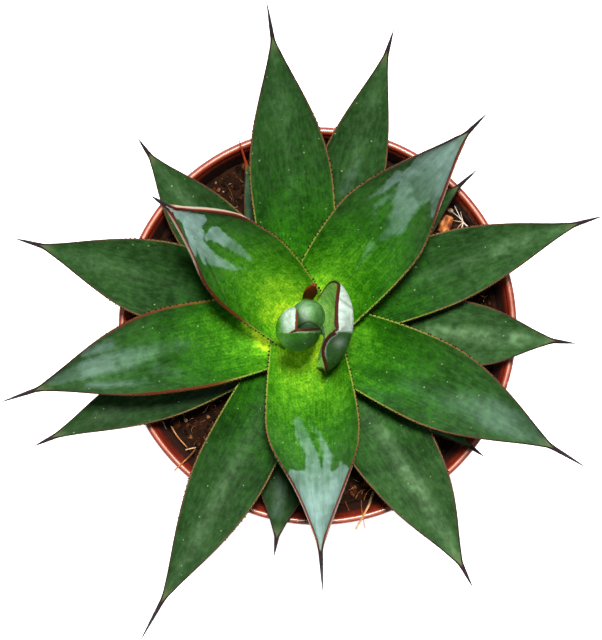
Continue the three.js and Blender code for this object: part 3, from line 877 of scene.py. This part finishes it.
# %% The tooth formula
def teeth(name, upper, lower, first=0.05, last=0.62, apart=1.55, size=0.6):
    """One shell with the teeth of both margins.

    Formula: stations at equal arc length along the margin; a cone with rings at -0.2, 0.5 and 1 of its
    height, its axis pushed towards the leaf's point by the square of the height.
    """
    random = np.random.default_rng(int(name[5:7]))
    height, wide = np.array([[-0.2, 0.5, 1.0], [0.6, 0.42, 0.04]])[..., None, None]
    turn = ring(5)[:, None]
    made = []
    for column, inner in ((-1, -2), (0, 1)):
        middle = (upper[:, column] + lower[:, column]) / 2
        steps = np.concatenate([[0], np.cumsum(np.linalg.norm(np.diff(middle, axis=0), axis=1))])
        count = max(2, int(steps[-1] * (last - first) / apart))
        at = np.linspace(first, last, count) * steps[-1] + random.uniform(-0.25, 0.25, count) * apart
        pick = np.clip(np.searchsorted(steps, at), 1, len(steps) - 2)
        on = unit(middle[pick + 1] - middle[pick - 1])
        out = upper[pick, column] - upper[pick, inner]
        out = unit(out - on * (out * on).sum(-1, keepdims=True))
        half_thick = np.linalg.norm(upper[pick, column] - lower[pick, column], axis=-1, keepdims=True) / 2
        root = middle[pick] + out * half_thick
        grown = size * random.uniform(0.7, 1.3, count) * (1 - 0.3 * np.linspace(0, 1, count))
        on, out, third = (d[:, None, None] for d in (on, out, np.cross(out, on)))
        cone = out * height + on * 0.5 * height**2 + (on * np.cos(turn) + third * np.sin(turn) * 0.8) * wide
        made.append(tubes(root[:, None, None] + grown[:, None, None, None] * cone, tooth=1.0, rise=0.3))
    return joined(made)


def add_leaf(name, finish, toothed=True, adjust=None):
    """One leaf: its blade with half-round margins, its fields, and its teeth. adjust changes the fields."""
    upper, lower, known = blade_faces(name)
    bleach = np.linspace(*BLEACH_AND_HIGHLIGHT.get(name, (0.0, 0.0)), COLUMNS)
    rings, fields = rounded_blade(upper, lower, {**known, "bleach": np.broadcast_to(bleach, upper.shape[:2])})
    rise, across = fields["rise"], fields["across"]
    outer = smooth(0.45, 0.85, rise)  # the wax thins and its edge softens towards the foot
    wax, bloom, soft = stroke_field(WAX, name, rings)
    strength, depth, softness = stroke_field(CREASES_AND_SHADOWS, name, rings)
    right, left = BROWN.get(name, (0.0, 0.0))
    brown = np.where(across < 0, right, left) * smooth(0.2, 0.35, rise) * smooth(0.75, 0.6, rise)
    aside = across / np.abs(across).max(axis=1, keepdims=True)
    glow = painted_glow_field(name, rings)
    # painted light and shade: `glow` is given off as light, and on leaf_15 it also paints the base lime;
    # `crease` also carries painted shadows, and `dark` is painted shade
    fields.update(
        wax=wax * (0.4 + 0.6 * outer), bloom=bloom, soft=soft * (2.5 - 1.5 * outer), glow=glow,
        crease=strength * smooth(-0.5, 0.3, depth / softness) * (fields["under"] < 0.1),
        lime=lime_field(name, rings) * (1.05 - 0.25 * aside**2) + 0.25 * glow * (name == "leaf_15"),
        edge=fields["edge"] - 0.6 * brown,
        red=0.9 * brown + 1.7 * smooth(0.9, 0.97, rise) * (name == "leaf_01"),
        dark=PAINTED_SHADE.get(name, 0.0), film=LEAVES[name][FILM_AND_HIGHLIGHT],
    )
    if adjust:
        adjust(rings, fields)
    parts = [tube(rings, **fields)]
    if toothed:
        parts.append(teeth(name, upper, lower))
    add_piece(name, joined(parts), finish)


# %% Grow the open leaves
for leaf_name in LEAVES:
    if leaf_name < "leaf_19":
        add_leaf(leaf_name, OPEN_SKIN)

# %% [markdown]
# ## The heart
#
# The heart stands upright, so the camera looks down on the points of its leaves. One leaf bulges out on
# the right and leans back, one is wrapped round the bud like a hood that is open to the upper right, the
# rolled bud fills that opening, and behind it shows only the red-brown point of a fourth leaf. The hood
# and the bud are bullets: circles stacked along a leaning axis, whose radius shrinks to a pole. Their
# painted shine, painted shade and painted glow, and their seams, are placed, like the strokes, where the
# picture from above shows them.


# %% The bullet formula
def bullet(rise, shoulder, power=2.2):
    """Radius over full radius: a sine from 0.86 to 1 up to the shoulder, then the square root of one
    minus the rest of the way to a power, which rounds it off to 0 at the pole."""
    foot = 0.86 + 0.14 * np.sin(np.pi / 2 * np.clip(rise / shoulder, 0, 1))
    rest = np.clip((rise - shoulder) / (1 - shoulder), 0, 1)
    return np.where(rise < shoulder, foot, np.sqrt(np.clip(1 - rest**power, 0, None)))


def round_axis(foot, top, rise, radius, degrees):
    """Points at the angles `degrees` and the given radius round the line from foot to top."""
    return (foot + (top - foot) * rise)[:, None] + on_circle(np.radians(degrees)) * radius[..., None]


def crowded(count):
    """Shares from 0 to 1 that lie closer together near 1, where a bullet curves most."""
    return (1 - (1 - np.linspace(0, 1, count)) ** 1.7)[:, None]


# %% The wrapping leaf
HOOD_FOOT, HOOD_TOP = np.array([-5.2, 0.0, 135.5]), np.array([-6.9, -1.1, 193.0])
HOOD_RADIUS, HOOD_WALL = 6.75, 1.0
HOOD_FROM, HOOD_TO = 90.0, 360.0  # the opening is the quarter between them, at the upper right


def hood():
    """The hood: a bullet's wall over three quarters of the circle, with a horn margin and a thorn."""
    rise = crowded(96)
    degrees = np.linspace(HOOD_FROM, HOOD_TO, 61) + 0 * rise
    radius = HOOD_RADIUS * bullet(rise, 0.62) + 0 * degrees
    wall = HOOD_WALL * np.clip(radius / 2.5, 0.05, 1)
    outer = round_axis(HOOD_FOOT, HOOD_TOP, rise, radius + 0.02, degrees)
    inner = round_axis(HOOD_FOOT, HOOD_TOP, rise, np.maximum(radius - wall, 0.01), degrees)
    rings, fields = rounded_blade(inner, outer, {
        "edge": np.radians(np.minimum(degrees - HOOD_FROM, HOOD_TO - degrees)) * radius,
        "rise": rise * 0.38 + 0 * degrees, "along": rise * 60 + 0 * degrees,
        "across": np.radians(degrees) * HOOD_RADIUS,
    })
    x, y = seen_from_above(rings)
    z = rings[..., 2]
    outside_face = (fields["under"] > 0.6) & (z > 160)
    lower_margin = fields["across"] > np.radians(225) * HOOD_RADIUS
    dark = np.where(lower_margin, smooth(298, 304, x), smooth(312, 306, y))
    # painted light on the hood: its pale wax on the upper outside is partly a painted highlight, and its left
    # side is painted lighter green and glows
    fields.update(
        bloom=np.where(outside_face, (333 - y) * 0.3, -9), soft=1.2, red=0.25,
        wax=0.88 * smooth(278, 287, x) * (1.0 - 0.4 * smooth(320, 332, y)) * (1 - 0.5 * (x > 297)),
        lime=0.3 + 0.3 * smooth(160, 138, z) + 0.3 * smooth(300, 280, x),
        glow=0.5 * smooth(297, 278, x) * outside_face,
        tooth=0.85 * dark * (fields["edge"] < 0.25),
    )
    thorn = HOOD_TOP + np.array([[0.6, 0.3, -1.2], [0, 0, -0.2], [-1.2, -0.4, 0.1], [-2.0, -0.7, -0.5]])
    thorn = tube(strand(thorn, [0.6, 0.5, 0.25, 0.04]), rise=0.5, under=1.0, soft=1.0)
    return joined([tube(rings, **fields), thorn])


# %% The rolled bud
BUD_FOOT, BUD_TOP, BUD_RADIUS = np.array([-3.6, 2.0, 136.5]), np.array([-3.2, 3.6, 188.5]), 5.25


def bud():
    """The bud: a bullet rolled like paper. The radius grows by one twentieth over a turn, so that the
    outer edge ends in a small step. On the side of the hood the outer layer ends in an arch, under which
    the next layer lies a third of a millimetre deeper. Formula of the arch: a parabola, seen from above.
    Painted shade: a dark line along the arch and a less lime green under it. Painted light: a glow under
    the arch and on the lower sides, and a painted highlight of pale wax on its left."""
    rise = crowded(110)
    turn = np.linspace(0, 360, 132, endpoint=False)
    seam = 80 - 110 * smooth(0.55, 0.85, rise)
    grown = ((turn - seam) % 360) / 360
    radius = BUD_RADIUS * bullet(rise, 0.6) * (0.96 + 0.045 * grown)
    x, y = seen_from_above(round_axis(BUD_FOOT, BUD_TOP, rise, radius, turn))
    below_arch = (y - 322.6 - 6.5 * ((x - 308.8) / 10.5) ** 2) * 0.3
    deeper = smooth(-0.25, 0.25, below_arch)
    rings = round_axis(BUD_FOOT, BUD_TOP, rise, radius - 0.35 * deeper, turn)
    z = rings[..., 2]
    seam_edge = (1 - grown) * 2 * np.pi * radius + 9 * smooth(0.84, 0.9, rise)
    return tube(
        rings, rise=0.25 + 0.15 * rise, under=0.1, bloom=3, red=0.5, soft=1.2,
        edge=np.minimum(np.minimum(seam_edge, np.abs(below_arch)), 9) + 0.02,
        wax=0.1 + 0.42 * np.exp(-(((x - 304.5) / 5.5) ** 2) - ((y - 313.5) / 8.5) ** 2),
        lime=0.52 + 0.2 * smooth(165, 140, z) - 0.18 * deeper,
        glow=0.6 * deeper + 0.45 * smooth(187, 172, z), crease=0.8 * np.exp(-((below_arch / 0.4) ** 2)),
        across=np.radians(turn) * radius, along=rise * 55,
    )


# %% The leaning and the pointed leaf
def shine_on_the_back(rings, fields):
    """The leaning leaf's horn is red all along. The upper half of its back is whitish wax with a painted
    highlight, crossed by a line of painted shade; the lower back has a pale wax patch and a painted
    highlight beside the margin; the inner face is painted lighter lime green and glows, as painted light.
    """
    x, y = seen_from_above(rings)
    back, low = fields["under"] > 0.8, y > 332
    # pale wax patch; beside the margin a painted highlight streak; `seam` is a line of painted shade
    patch = 0.34 * np.exp(-(((x - 339) / 5) ** 2) - ((y - 342) / 5) ** 2)
    streak = 0.6 * smooth(0.9, 0.6, fields["edge"]) * smooth(364, 346, y)
    seam = 0.45 * np.exp(-(((y - 299 - 0.75 * (x - 340)) / 1.6) ** 2))
    upper_wax = 1.0 - 0.2 * smooth(304, 298, y) - seam
    fields.update(
        bloom=np.where(back & ~low, np.where(x > 330, 332 - y, -9) * 0.3, 3),
        wax=np.where(back, np.where(low, patch + streak, upper_wax), 0.14),
        edge=fields["edge"] - 0.2, rise=np.minimum(fields["rise"], 0.93), soft=1.2, red=0.4,
        lime=np.where(back, 0.2, 0.8), glow=np.where(fields["under"] < 0.1, 1.0, 0),
        tooth=0.8 * smooth(286, 282, y) * (fields["edge"] - 0.2 < 0.4),
    )


def horny_point(rings, fields):
    """Of the pointed leaf only the horny upper part shows, so the horn covers it from the middle up. Its
    horn is painted a brighter red, as painted light, because it stands in shade.
    """
    fields.update(
        edge=fields["edge"] - smooth(305, 300, seen_from_above(rings)[1]) * 9,
        red=np.where(fields["under"] < 0.1, 2.0, 1.6), rise=np.minimum(fields["rise"], 0.93),
    )


# %% Grow the heart
add_piece("leaf_21_outer_wrap", hood(), HEART_SKIN)
add_piece("leaf_22_rolled_bud", bud(), HEART_SKIN)
add_leaf("leaf_19_leaning", HEART_SKIN, toothed=False, adjust=shine_on_the_back)
add_leaf("leaf_20_pointed", HEART_SKIN, toothed=False, adjust=horny_point)

# %% [markdown]
# ## The pot
#
# The pot is vacuum-formed from thin plastic, so it is one smooth lathe profile: a tapered wall, a band
# under the rim and a rounded bead. The eight holes in its floor are cut with a Boolean, as a punch would.
# The finish is glossy terracotta red, with fine scratches that run round, dust, a painted highlight on
# the bead's crest, and the inside darker brown from the soil up to an uneven line below the rim.

# %% The lathe
POT_HEIGHT, POT_FLOOR, POT_WALL = 112.0, 1.8, 1.2
BEAD_RADIUS, BEAD_AT = 1.3, (63.7, 110.7)
BAND_FROM, BAND_EXTRA = 97.2, 0.7
DRAIN_COUNT, DRAIN_RADIUS, DRAIN_CIRCLE = 8, 4.5, 34.0
POT_AROUND = 256


def outside(z):
    """The wall's outer radius at a height: a straight taper."""
    return 46.0 + 17.6 * z / POT_HEIGHT


def lathe(profile, around, centres=0.0):
    """Rings that sweep a profile of (radius, height) once round. centres moves each ring aside."""
    profile = np.array(profile, float)
    rings = profile[:, None, [0]] * on_circle(ring(around))
    rings[..., 2] += profile[:, None, 1]
    rings[..., :2] += centres
    return rings


def pot():
    """The pot's profile from the middle of its foot up the outside, over the bead and down the inside."""
    bead = BEAD_AT + BEAD_RADIUS * on_circle(np.radians(np.linspace(-60, 215, 19)))[:, :2]
    low, high = np.linspace(2.4, 96.5, 24), np.linspace(98.5, 109, 8)
    inner = np.linspace(109, POT_FLOOR + 1.6, 30)
    step = [(outside(BAND_FROM) + 0.12, BAND_FROM), (outside(97.9) + 0.55, 97.9)]
    floor_radii = np.array([1, 12, 24, 34, 43])
    profile = np.concatenate([
        [(r, 0.0) for r in (1, 12, 24, 34, 42, 44)], [(45.5, 0.6)],
        np.stack([outside(low), low], axis=-1), step, np.stack([outside(high) + BAND_EXTRA, high], axis=-1),
        bead, np.stack([outside(inner) - POT_WALL, inner], axis=-1),
        [(44.2, POT_FLOOR + 0.4)], [(r, POT_FLOOR) for r in floor_radii[::-1]],
    ])
    within = np.arange(len(profile)) >= len(profile) - len(inner) - len(floor_radii) - 1
    girth = np.linspace(0, 2 * np.pi * 60, POT_AROUND)
    return tube(lathe(profile, POT_AROUND), inside=within[:, None] * 1.0, across=profile[:, [1]], along=girth)


def punch(piece):
    """Cuts the drain holes: eight short cylinders, joined to one cutter, taken away by a Boolean."""
    cylinder = lathe([(DRAIN_RADIUS, -3.0), (DRAIN_RADIUS, 5.0)], 40)
    shift = DRAIN_CIRCLE * on_circle(ring(DRAIN_COUNT))[:, None, None]
    cutter = bpy.data.objects.new("punch", mesh_of("punch", tubes(cylinder + shift)))
    scene.collection.objects.link(cutter)
    cut = piece.modifiers.new("holes", "BOOLEAN")
    cut.operation, cut.solver, cut.object = "DIFFERENCE", "EXACT", cutter
    whole = piece.data
    seen = piece.evaluated_get(bpy.context.evaluated_depsgraph_get())
    piece.data = bpy.data.meshes.new_from_object(seen)
    piece.modifiers.clear()
    piece.data.name = "pot"
    bpy.data.objects.remove(cutter)
    bpy.data.meshes.remove(whole)
    piece.data.set_sharp_from_angle(angle=np.radians(40))


# %% Pot finish
POT_PLASTIC, shader, place = new_finish("glossy_terracotta_plastic")
height = put(home(place), "ShaderNodeSeparateXYZ", {0: place})[2]
clouds = use(mottle, Vector=place, Scale=60.0)
scratches = use(grain, **reads(place, "Across Along"), Fineness=5.0, Stretch=30.0)
dust = use(specks, Vector=place, Scale=600.0, Share=0.12, Size=0.2)
# painted highlight: the bead's crest is painted a paler orange along it
painted_rim_highlight = between(height, 0.1118, 0.11199) * between(noise(place, 90.0), 0.25, 0.6, 0.3, 0.65)
# the inside of the wall is darker brown from the soil up to an uneven line below the rim
dark_inside_low = between(height + noise(place, 160.0) * -0.012, 0.104, 0.098) * reads(place, "inside")["inside"]
base = blend(clouds, (124, 39, 24), (135, 44, 29))
base = blend(between(scratches, 0.6, 0.8, 0.0, 0.35), base, (214, 130, 100))
base = blend(dust * 0.4, base, (210, 180, 150))
base = blend(painted_rim_highlight, base, (214, 140, 112))
base = blend(dark_inside_low * 0.85, base, (44, 24, 15))
rough = clouds * 0.1 + 0.2 + maths("MAXIMUM", dark_inside_low, dust) * 0.4
dress(shader, base, rough, scratches + dust * 0.5, 0.25, 0.0002)

pot_piece = add_piece("pot", pot(), POT_PLASTIC)
punch(pot_piece)
print("pot after punching:", len(pot_piece.data.polygons), "faces")

# %% [markdown]
# ## The soil
#
# Peat is a heap of crumbs with fibres in it. The heap itself is a lathe whose top is raised and lowered by
# smoothed random numbers at three sizes. On it lie some thousands of crumbs, each a twenty-faced solid with
# its corners moved, and some hundreds of pale fibres. Each carries a `shade` of its own, from black peat
# over brown to pale chaff, because one colour for all would look like cast stone.

# %% The soil's surface
SOIL_LEVEL, SOIL_DOME = 98.6, 1.2
GAP = 0.3  # between the soil and what it touches
HOLE_RADIUS = 9.3  # where the stem stands
TOP_RINGS = 64
CRUMBS, FIBRES = 5600, 900
LOOSE_FROM, LOOSE_TO = 13.0, 58.5  # how far from the axis the crumbs lie; beyond it they would meet the pot
soil_random = np.random.default_rng(98)


def lumps(x, y, size, seed):
    """Smooth random heights from -1 to 1, with lumps as wide as size.

    Formula: random numbers on a square lattice, blended across each cell with the S curve both ways.
    """
    lattice = np.random.default_rng(seed).uniform(-1, 1, (160, 160))
    u, v = x / size + 80, y / size + 80
    i, j = u.astype(int), v.astype(int)
    s, t = smooth(0, 1, u - i), smooth(0, 1, v - j)
    near = lattice[i, j] * (1 - t) + lattice[i, j + 1] * t
    far = lattice[i + 1, j] * (1 - t) + lattice[i + 1, j + 1] * t
    return near * (1 - s) + far * s


def soil_height(x, y):
    """The height of the soil's top: the CAD's low dome, and lumps of 9, 3.5 and 1.4 mm on it."""
    dome = SOIL_LEVEL - SOIL_DOME * smooth(15, 75, np.hypot(x, y))
    return dome + 0.6 * lumps(x, y, 9.0, 1) + 0.6 * lumps(x, y, 3.5, 2) + 0.4 * lumps(x, y, 1.4, 3) - 0.45


def soil_heap():
    """The heap: bottom of the stem's hole, up its wall, over the top and down along the pot."""
    inside_top = outside(BAND_FROM) - POT_WALL - GAP
    top = np.linspace(0, 1, TOP_RINGS)
    down = np.linspace(96.2, POT_FLOOR + 2.7, 12)
    radii = np.concatenate([[1.0], STEM_RADII[:2] + GAP, [HOLE_RADIUS],
                            HOLE_RADIUS + (inside_top - HOLE_RADIUS) * top,
                            outside(down) - POT_WALL - GAP, [43.0, 30.0, 1.0]])
    levels = np.concatenate([[69.7], STEM_LEVELS[:2] - GAP, [96.0], 98.0 + 0 * top, down, [2.1, 2.1, 2.1]])
    leaning = np.concatenate([[1.0] * 4, 1 - top, [0.0] * 15])  # how much a ring centres on the plant
    centres = leaning[:, None, None] * PLANT[:2]
    rings = lathe(np.stack([radii, levels], axis=-1), 220, centres)
    on_top = slice(4, 4 + TOP_RINGS)
    rings[on_top, :, 2] = soil_height(rings[on_top, :, 0], rings[on_top, :, 1])
    return tube(rings, shade=0.2 + 0.18 * lumps(rings[..., 0], rings[..., 1], 2.2, 4))


# %% Crumbs and fibres
def crumbs(count):
    """Crumbs: an icosahedron for each, its corners moved in and out, turned at random and half sunk."""
    golden = (1 + 5**0.5) / 2
    corners = unit(np.array([(-1, golden, 0), (1, golden, 0), (-1, -golden, 0), (1, -golden, 0),
                             (0, -1, golden), (0, 1, golden), (0, -1, -golden), (0, 1, -golden),
                             (golden, 0, -1), (golden, 0, 1), (-golden, 0, -1), (-golden, 0, 1)], float))
    faces = np.array([(0, 11, 5), (0, 5, 1), (0, 1, 7), (0, 7, 10), (0, 10, 11), (1, 5, 9), (5, 11, 4),
                      (11, 10, 2), (10, 7, 6), (7, 1, 8), (3, 9, 4), (3, 4, 2), (3, 2, 6), (3, 6, 8),
                      (3, 8, 9), (4, 9, 5), (2, 4, 11), (6, 2, 10), (8, 6, 7), (9, 8, 1)])
    size = np.clip(soil_random.lognormal(-0.75, 0.5, count), 0.2, 1.7)
    reach = LOOSE_FROM + (LOOSE_TO - LOOSE_FROM) * soil_random.uniform(0, 1, count) ** 0.5
    turn = soil_random.uniform(0, 2 * np.pi, count)
    x, y = reach * np.cos(turn), reach * np.sin(turn)
    shape = corners[None] * soil_random.uniform(0.65, 1.2, (count, 12, 1))
    shape = shape * soil_random.uniform(0.55, 1.3, (count, 1, 3))
    first = unit(soil_random.normal(size=(count, 3)))
    second = unit(np.cross(first, soil_random.normal(size=(count, 3))))
    turned = np.stack([first, second, np.cross(first, second)], axis=1)
    shape = np.einsum("nij,njk->nik", shape, turned) * size[:, None, None]
    shape += np.stack([x, y, soil_height(x, y) + 0.25 * size], axis=-1)[:, None]
    shade = np.clip(soil_random.normal(0.27, 0.24, count), 0.0, 0.85)
    pale = soil_random.uniform(size=count) < 0.02
    shade = np.where(pale, soil_random.uniform(0.85, 1.0, count), shade)
    triangles = (faces[None] + 12 * np.arange(count)[:, None, None]).reshape(-1, 3)
    return shell(shape.reshape(-1, 3), np.zeros((0, 4), int), triangles, {"shade": np.repeat(shade, 12)})


def fibres_on_soil(count):
    """Fibres: bent threads of five rings with three sides that lie on the crumbs."""
    reach = 15 + 42 * soil_random.uniform(0, 1, count) ** 0.45
    turn = soil_random.uniform(0, 2 * np.pi, count)
    heading = soil_random.uniform(0, 2 * np.pi, count)
    length = np.clip(soil_random.lognormal(1.0, 0.5, count), 1.0, 8.0)
    bend = soil_random.normal(0, 0.5, count)
    s = np.linspace(-0.5, 0.5, 5)
    direction = heading[:, None] + bend[:, None] * s * 2
    x = (reach * np.cos(turn))[:, None] + s * length[:, None] * np.cos(direction)
    y = (reach * np.sin(turn))[:, None] + s * length[:, None] * np.sin(direction)
    x, y = np.stack([x, y]) * np.minimum(1, LOOSE_TO / np.hypot(x, y))  # none pokes through the pot
    z = soil_height(x, y) + 0.45 + soil_random.uniform(0, 0.5, (count, 1))
    centre = np.stack([x, y, z], axis=-1)[:, :, None]
    thick = soil_random.uniform(0.05, 0.14, (count, 1, 1, 1)) * np.array([0.3, 1, 1, 1, 0.3])[:, None, None]
    aside = on_circle(direction + np.pi / 2)[:, :, None]
    corner = ring(3)[:, None]
    rings = centre + thick * (aside * np.cos(corner) + np.array([0, 0, 1.0]) * np.sin(corner))
    return tubes(rings, shade=soil_random.uniform(0.6, 1.0, (count, 1, 1)))


# %% Soil finish
PEAT, shader, place = new_finish("potting_peat")
fine = use(mottle, Vector=place, Scale=900.0, Low=0.3, High=0.7)
damp = use(mottle, Vector=place, Scale=45.0)
tone = reads(place, "shade")["shade"] + (fine - 0.5) * 0.22
base = ramp(tone, (0.0, 14, 8, 4), (0.35, 50, 26, 12), (0.6, 104, 52, 26), (0.8, 160, 112, 70),
            (1.0, 232, 212, 180))
base = blend(damp * 0.35, base, (30, 15, 8))
dress(shader, base, between(fine, 0.0, 1.0, 0.75, 0.95), fine, 0.6, 0.0003)
feed(shader["Specular IOR Level"], 0.1)
add_piece("soil", joined([soil_heap(), crumbs(CRUMBS), fibres_on_soil(FIBRES)]), PEAT)

# %% [markdown]
# ## The stem
#
# The stem is a short fleshy cone. Its leaves hide it almost wholly, and what shows from the side is the
# ringed skin where old leaves have gone. A lathe with small scars at regular heights is enough.


# %% Stem
def stem():
    """The stem: the CAD's profile with ridges. Formula: radius times 1 plus 0.02 of a sine every 3.2 mm."""
    z = np.linspace(STEM_LEVELS[0], STEM_LEVELS[-1], 90)
    ridge = 1 + 0.02 * np.sin(2 * np.pi * z / 3.2)
    radius = np.interp(z, STEM_LEVELS, STEM_RADII) * ridge
    return tube(lathe(np.stack([radius, z], axis=-1), 56, PLANT[:2]), ridge=ridge[:, None])


STEM_FLESH, shader, place = new_finish("stem_flesh")
clouds = use(mottle, Vector=place, Scale=220.0)
scar = between(reads(place, "ridge")["ridge"], 0.995, 0.98)
base = blend(scar * 0.7, blend(clouds, (170, 178, 104), (198, 204, 138)), (122, 84, 48))
dress(shader, base, between(clouds, 0.0, 1.0, 0.45, 0.65), clouds, 0.4, 0.0003)
add_piece("stem", stem(), STEM_FLESH)

# %% [markdown]
# ## Bark and straws
#
# On the soil lie a chip of bark, orange where it split, and some straws and rootlets; two straws hang over
# the rim. The chip is a rounded block whose skin steps in thin layers. The straws follow the CAD's
# points. They are litter that lies still, so they are plain tubes, each with a few side threads.

# %% Bark chip
CHIP_CENTRE, CHIP_SIZE, CHIP_TURN = np.array([42.4, 33.6, 99.3]), (4.2, 6.4, 2.6), -22.0
BLUNT = 3.5  # the power of the superellipse


def chip():
    """The chip: superellipse sections, narrower to both ends. Formula: |x|^3.5 + |z|^3.5 = 1 for each
    section, and its surface stepped by the rounded part of a lumpy height."""
    t = np.linspace(-1, 1, 60)[:, None]
    cosine, sine = np.cos(ring(64)), np.sin(ring(64))
    closing = np.clip((1 - np.abs(t)) * 9, 0.02, 1) ** 0.5
    x = np.sign(cosine) * np.abs(cosine) ** (2 / BLUNT) * (1 - 0.3 * np.abs(t)) * closing * CHIP_SIZE[0] / 2
    z = np.sign(sine) * np.abs(sine) ** (2 / BLUNT) * closing * CHIP_SIZE[2] / 2
    y = t * CHIP_SIZE[1] / 2 + 0 * x
    rough = lumps(x * 2.2 + z * 3, y, 1.6, 5)
    step = np.floor(rough * 3) / 3 * 0.75 + rough * 0.25
    x, z = x * (1 + 0.12 * step), z * (1 + 0.2 * step)
    cosine, sine = np.cos(np.radians(CHIP_TURN)), np.sin(np.radians(CHIP_TURN))
    rings = np.stack([x * cosine - y * sine, x * sine + y * cosine, z], axis=-1)
    return tube(rings + CHIP_CENTRE, layer=0.5 + 0.5 * step, across=x, along=y)


BARK, shader, place = new_finish("split_bark")
lines = use(grain, **reads(place, "Across Along"), Fineness=4.0, Stretch=7.0)
tone = reads(place, "layer")["layer"] * 0.6 + lines * 0.4 + noise(place, 400.0) * 0.3
base = ramp(tone, (0.3, 84, 32, 18), (0.5, 150, 70, 26), (0.68, 196, 110, 40), (0.85, 226, 160, 84))
dress(shader, base, between(lines, 0.2, 0.8, 0.6, 0.85), lines, 0.7, 0.0004)
add_piece("bark_chip", chip(), BARK)

# %% Straws
STRAW, shader, place = new_finish("dry_straw")
spots = use(mottle, Vector=place, Scale=700.0)
tone = reads(place, "tone")["tone"] + (spots - 0.5) * 0.2
base = ramp(tone, (0.0, 246, 232, 222), (0.35, 222, 190, 140), (0.65, 196, 124, 66), (1.0, 120, 58, 30))
dress(shader, base, between(spots, 0.0, 1.0, 0.5, 0.8), spots, 0.4, 0.0002)

# for each node its threads: radius at the foot and at the end, tone from white to brown, and the points
STRAWS = {
    "straw_front": [
        (0.5, 0.3, 0.5, (18.5, -55.2, 97.9), (17.3, -57.3, 106), (16.4, -58.8, 112.9), (12.4, -66.1, 112.7)),
        (0.22, 0.12, 0.7, (14.6, -57.9, 98.6), (14.4, -59, 106), (14.6, -61.6, 112.7), (15.4, -65.8, 112.4)),
        (0.2, 0.15, 0.8, (19.4, -54.6, 98.6), (17.8, -53.8, 100.4), (16, -55.6, 101.6), (15.4, -57.8, 99.2)),
        (0.18, 0.12, 0.9, (12.6, -57.2, 98.7), (13.8, -55, 100.2), (15.8, -54.2, 101), (17.6, -56.2, 99.6)),
        (0.2, 0.14, 0.75, (9.2, -58.2, 98.8), (9.9, -59.6, 104), (10.2, -60.2, 109)),
    ],
    "straw_left": [
        (0.32, 0.2, 0.72,
         (-40.4, -40.8, 97.9), (-41.3, -42, 106), (-42.8, -43.4, 112.7), (-46.6, -47, 112.9)),
        (0.17, 0.1, 0.1,
         (-51, -31.8, 99.6), (-49, -36.6, 100.2), (-46.8, -40.6, 100.4), (-45.2, -43.6, 99.4)),
    ],
    "fibre_left": [
        (0.28, 0.16, 0.6, (-48.4, -33.2, 98.6), (-46.4, -36.5, 99.1), (-43.1, -40.3, 98.7)),
        (0.26, 0.16, 0.4, (-43.6, -41.0, 99.2), (-42.0, -40.6, 99.9), (-40.2, -40.2, 99.4)),
    ],
    "rootlet_right": [
        (0.24, 0.08, 0.0, (49.6, 33.0, 99.6), (48.2, 34.4, 99.9), (46.9, 36.6, 99.7), (45.2, 40.2, 99.0)),
        (0.15, 0.06, 0.1, (48.4, 34.3, 99.9), (46.8, 35.9, 100.3), (44.8, 37.6, 99.2)),
        (0.14, 0.06, 0.15, (48.4, 34.3, 99.9), (46.6, 34.6, 100.5), (45.0, 34.9, 99.4)),
        (0.13, 0.06, 0.15, (48.3, 34.4, 99.8), (47.2, 33.4, 100.1), (46.2, 32.2, 99.2)),
        (0.11, 0.05, 0.15, (48.2, 34.5, 99.8), (47.4, 37.4, 100.2), (46.9, 40.2, 99.1)),
        (0.14, 0.24, 0.1, (45.9, 28.2, 98.9), (47.4, 31.4, 99.4), (48.3, 34.4, 99.8)),
    ],
}
for node, threads in STRAWS.items():
    made = [tube(strand(points, np.linspace(thick, thin, len(points))), tone=tone)
            for thick, thin, tone, *points in threads]
    add_piece(node, joined(made), STRAW)
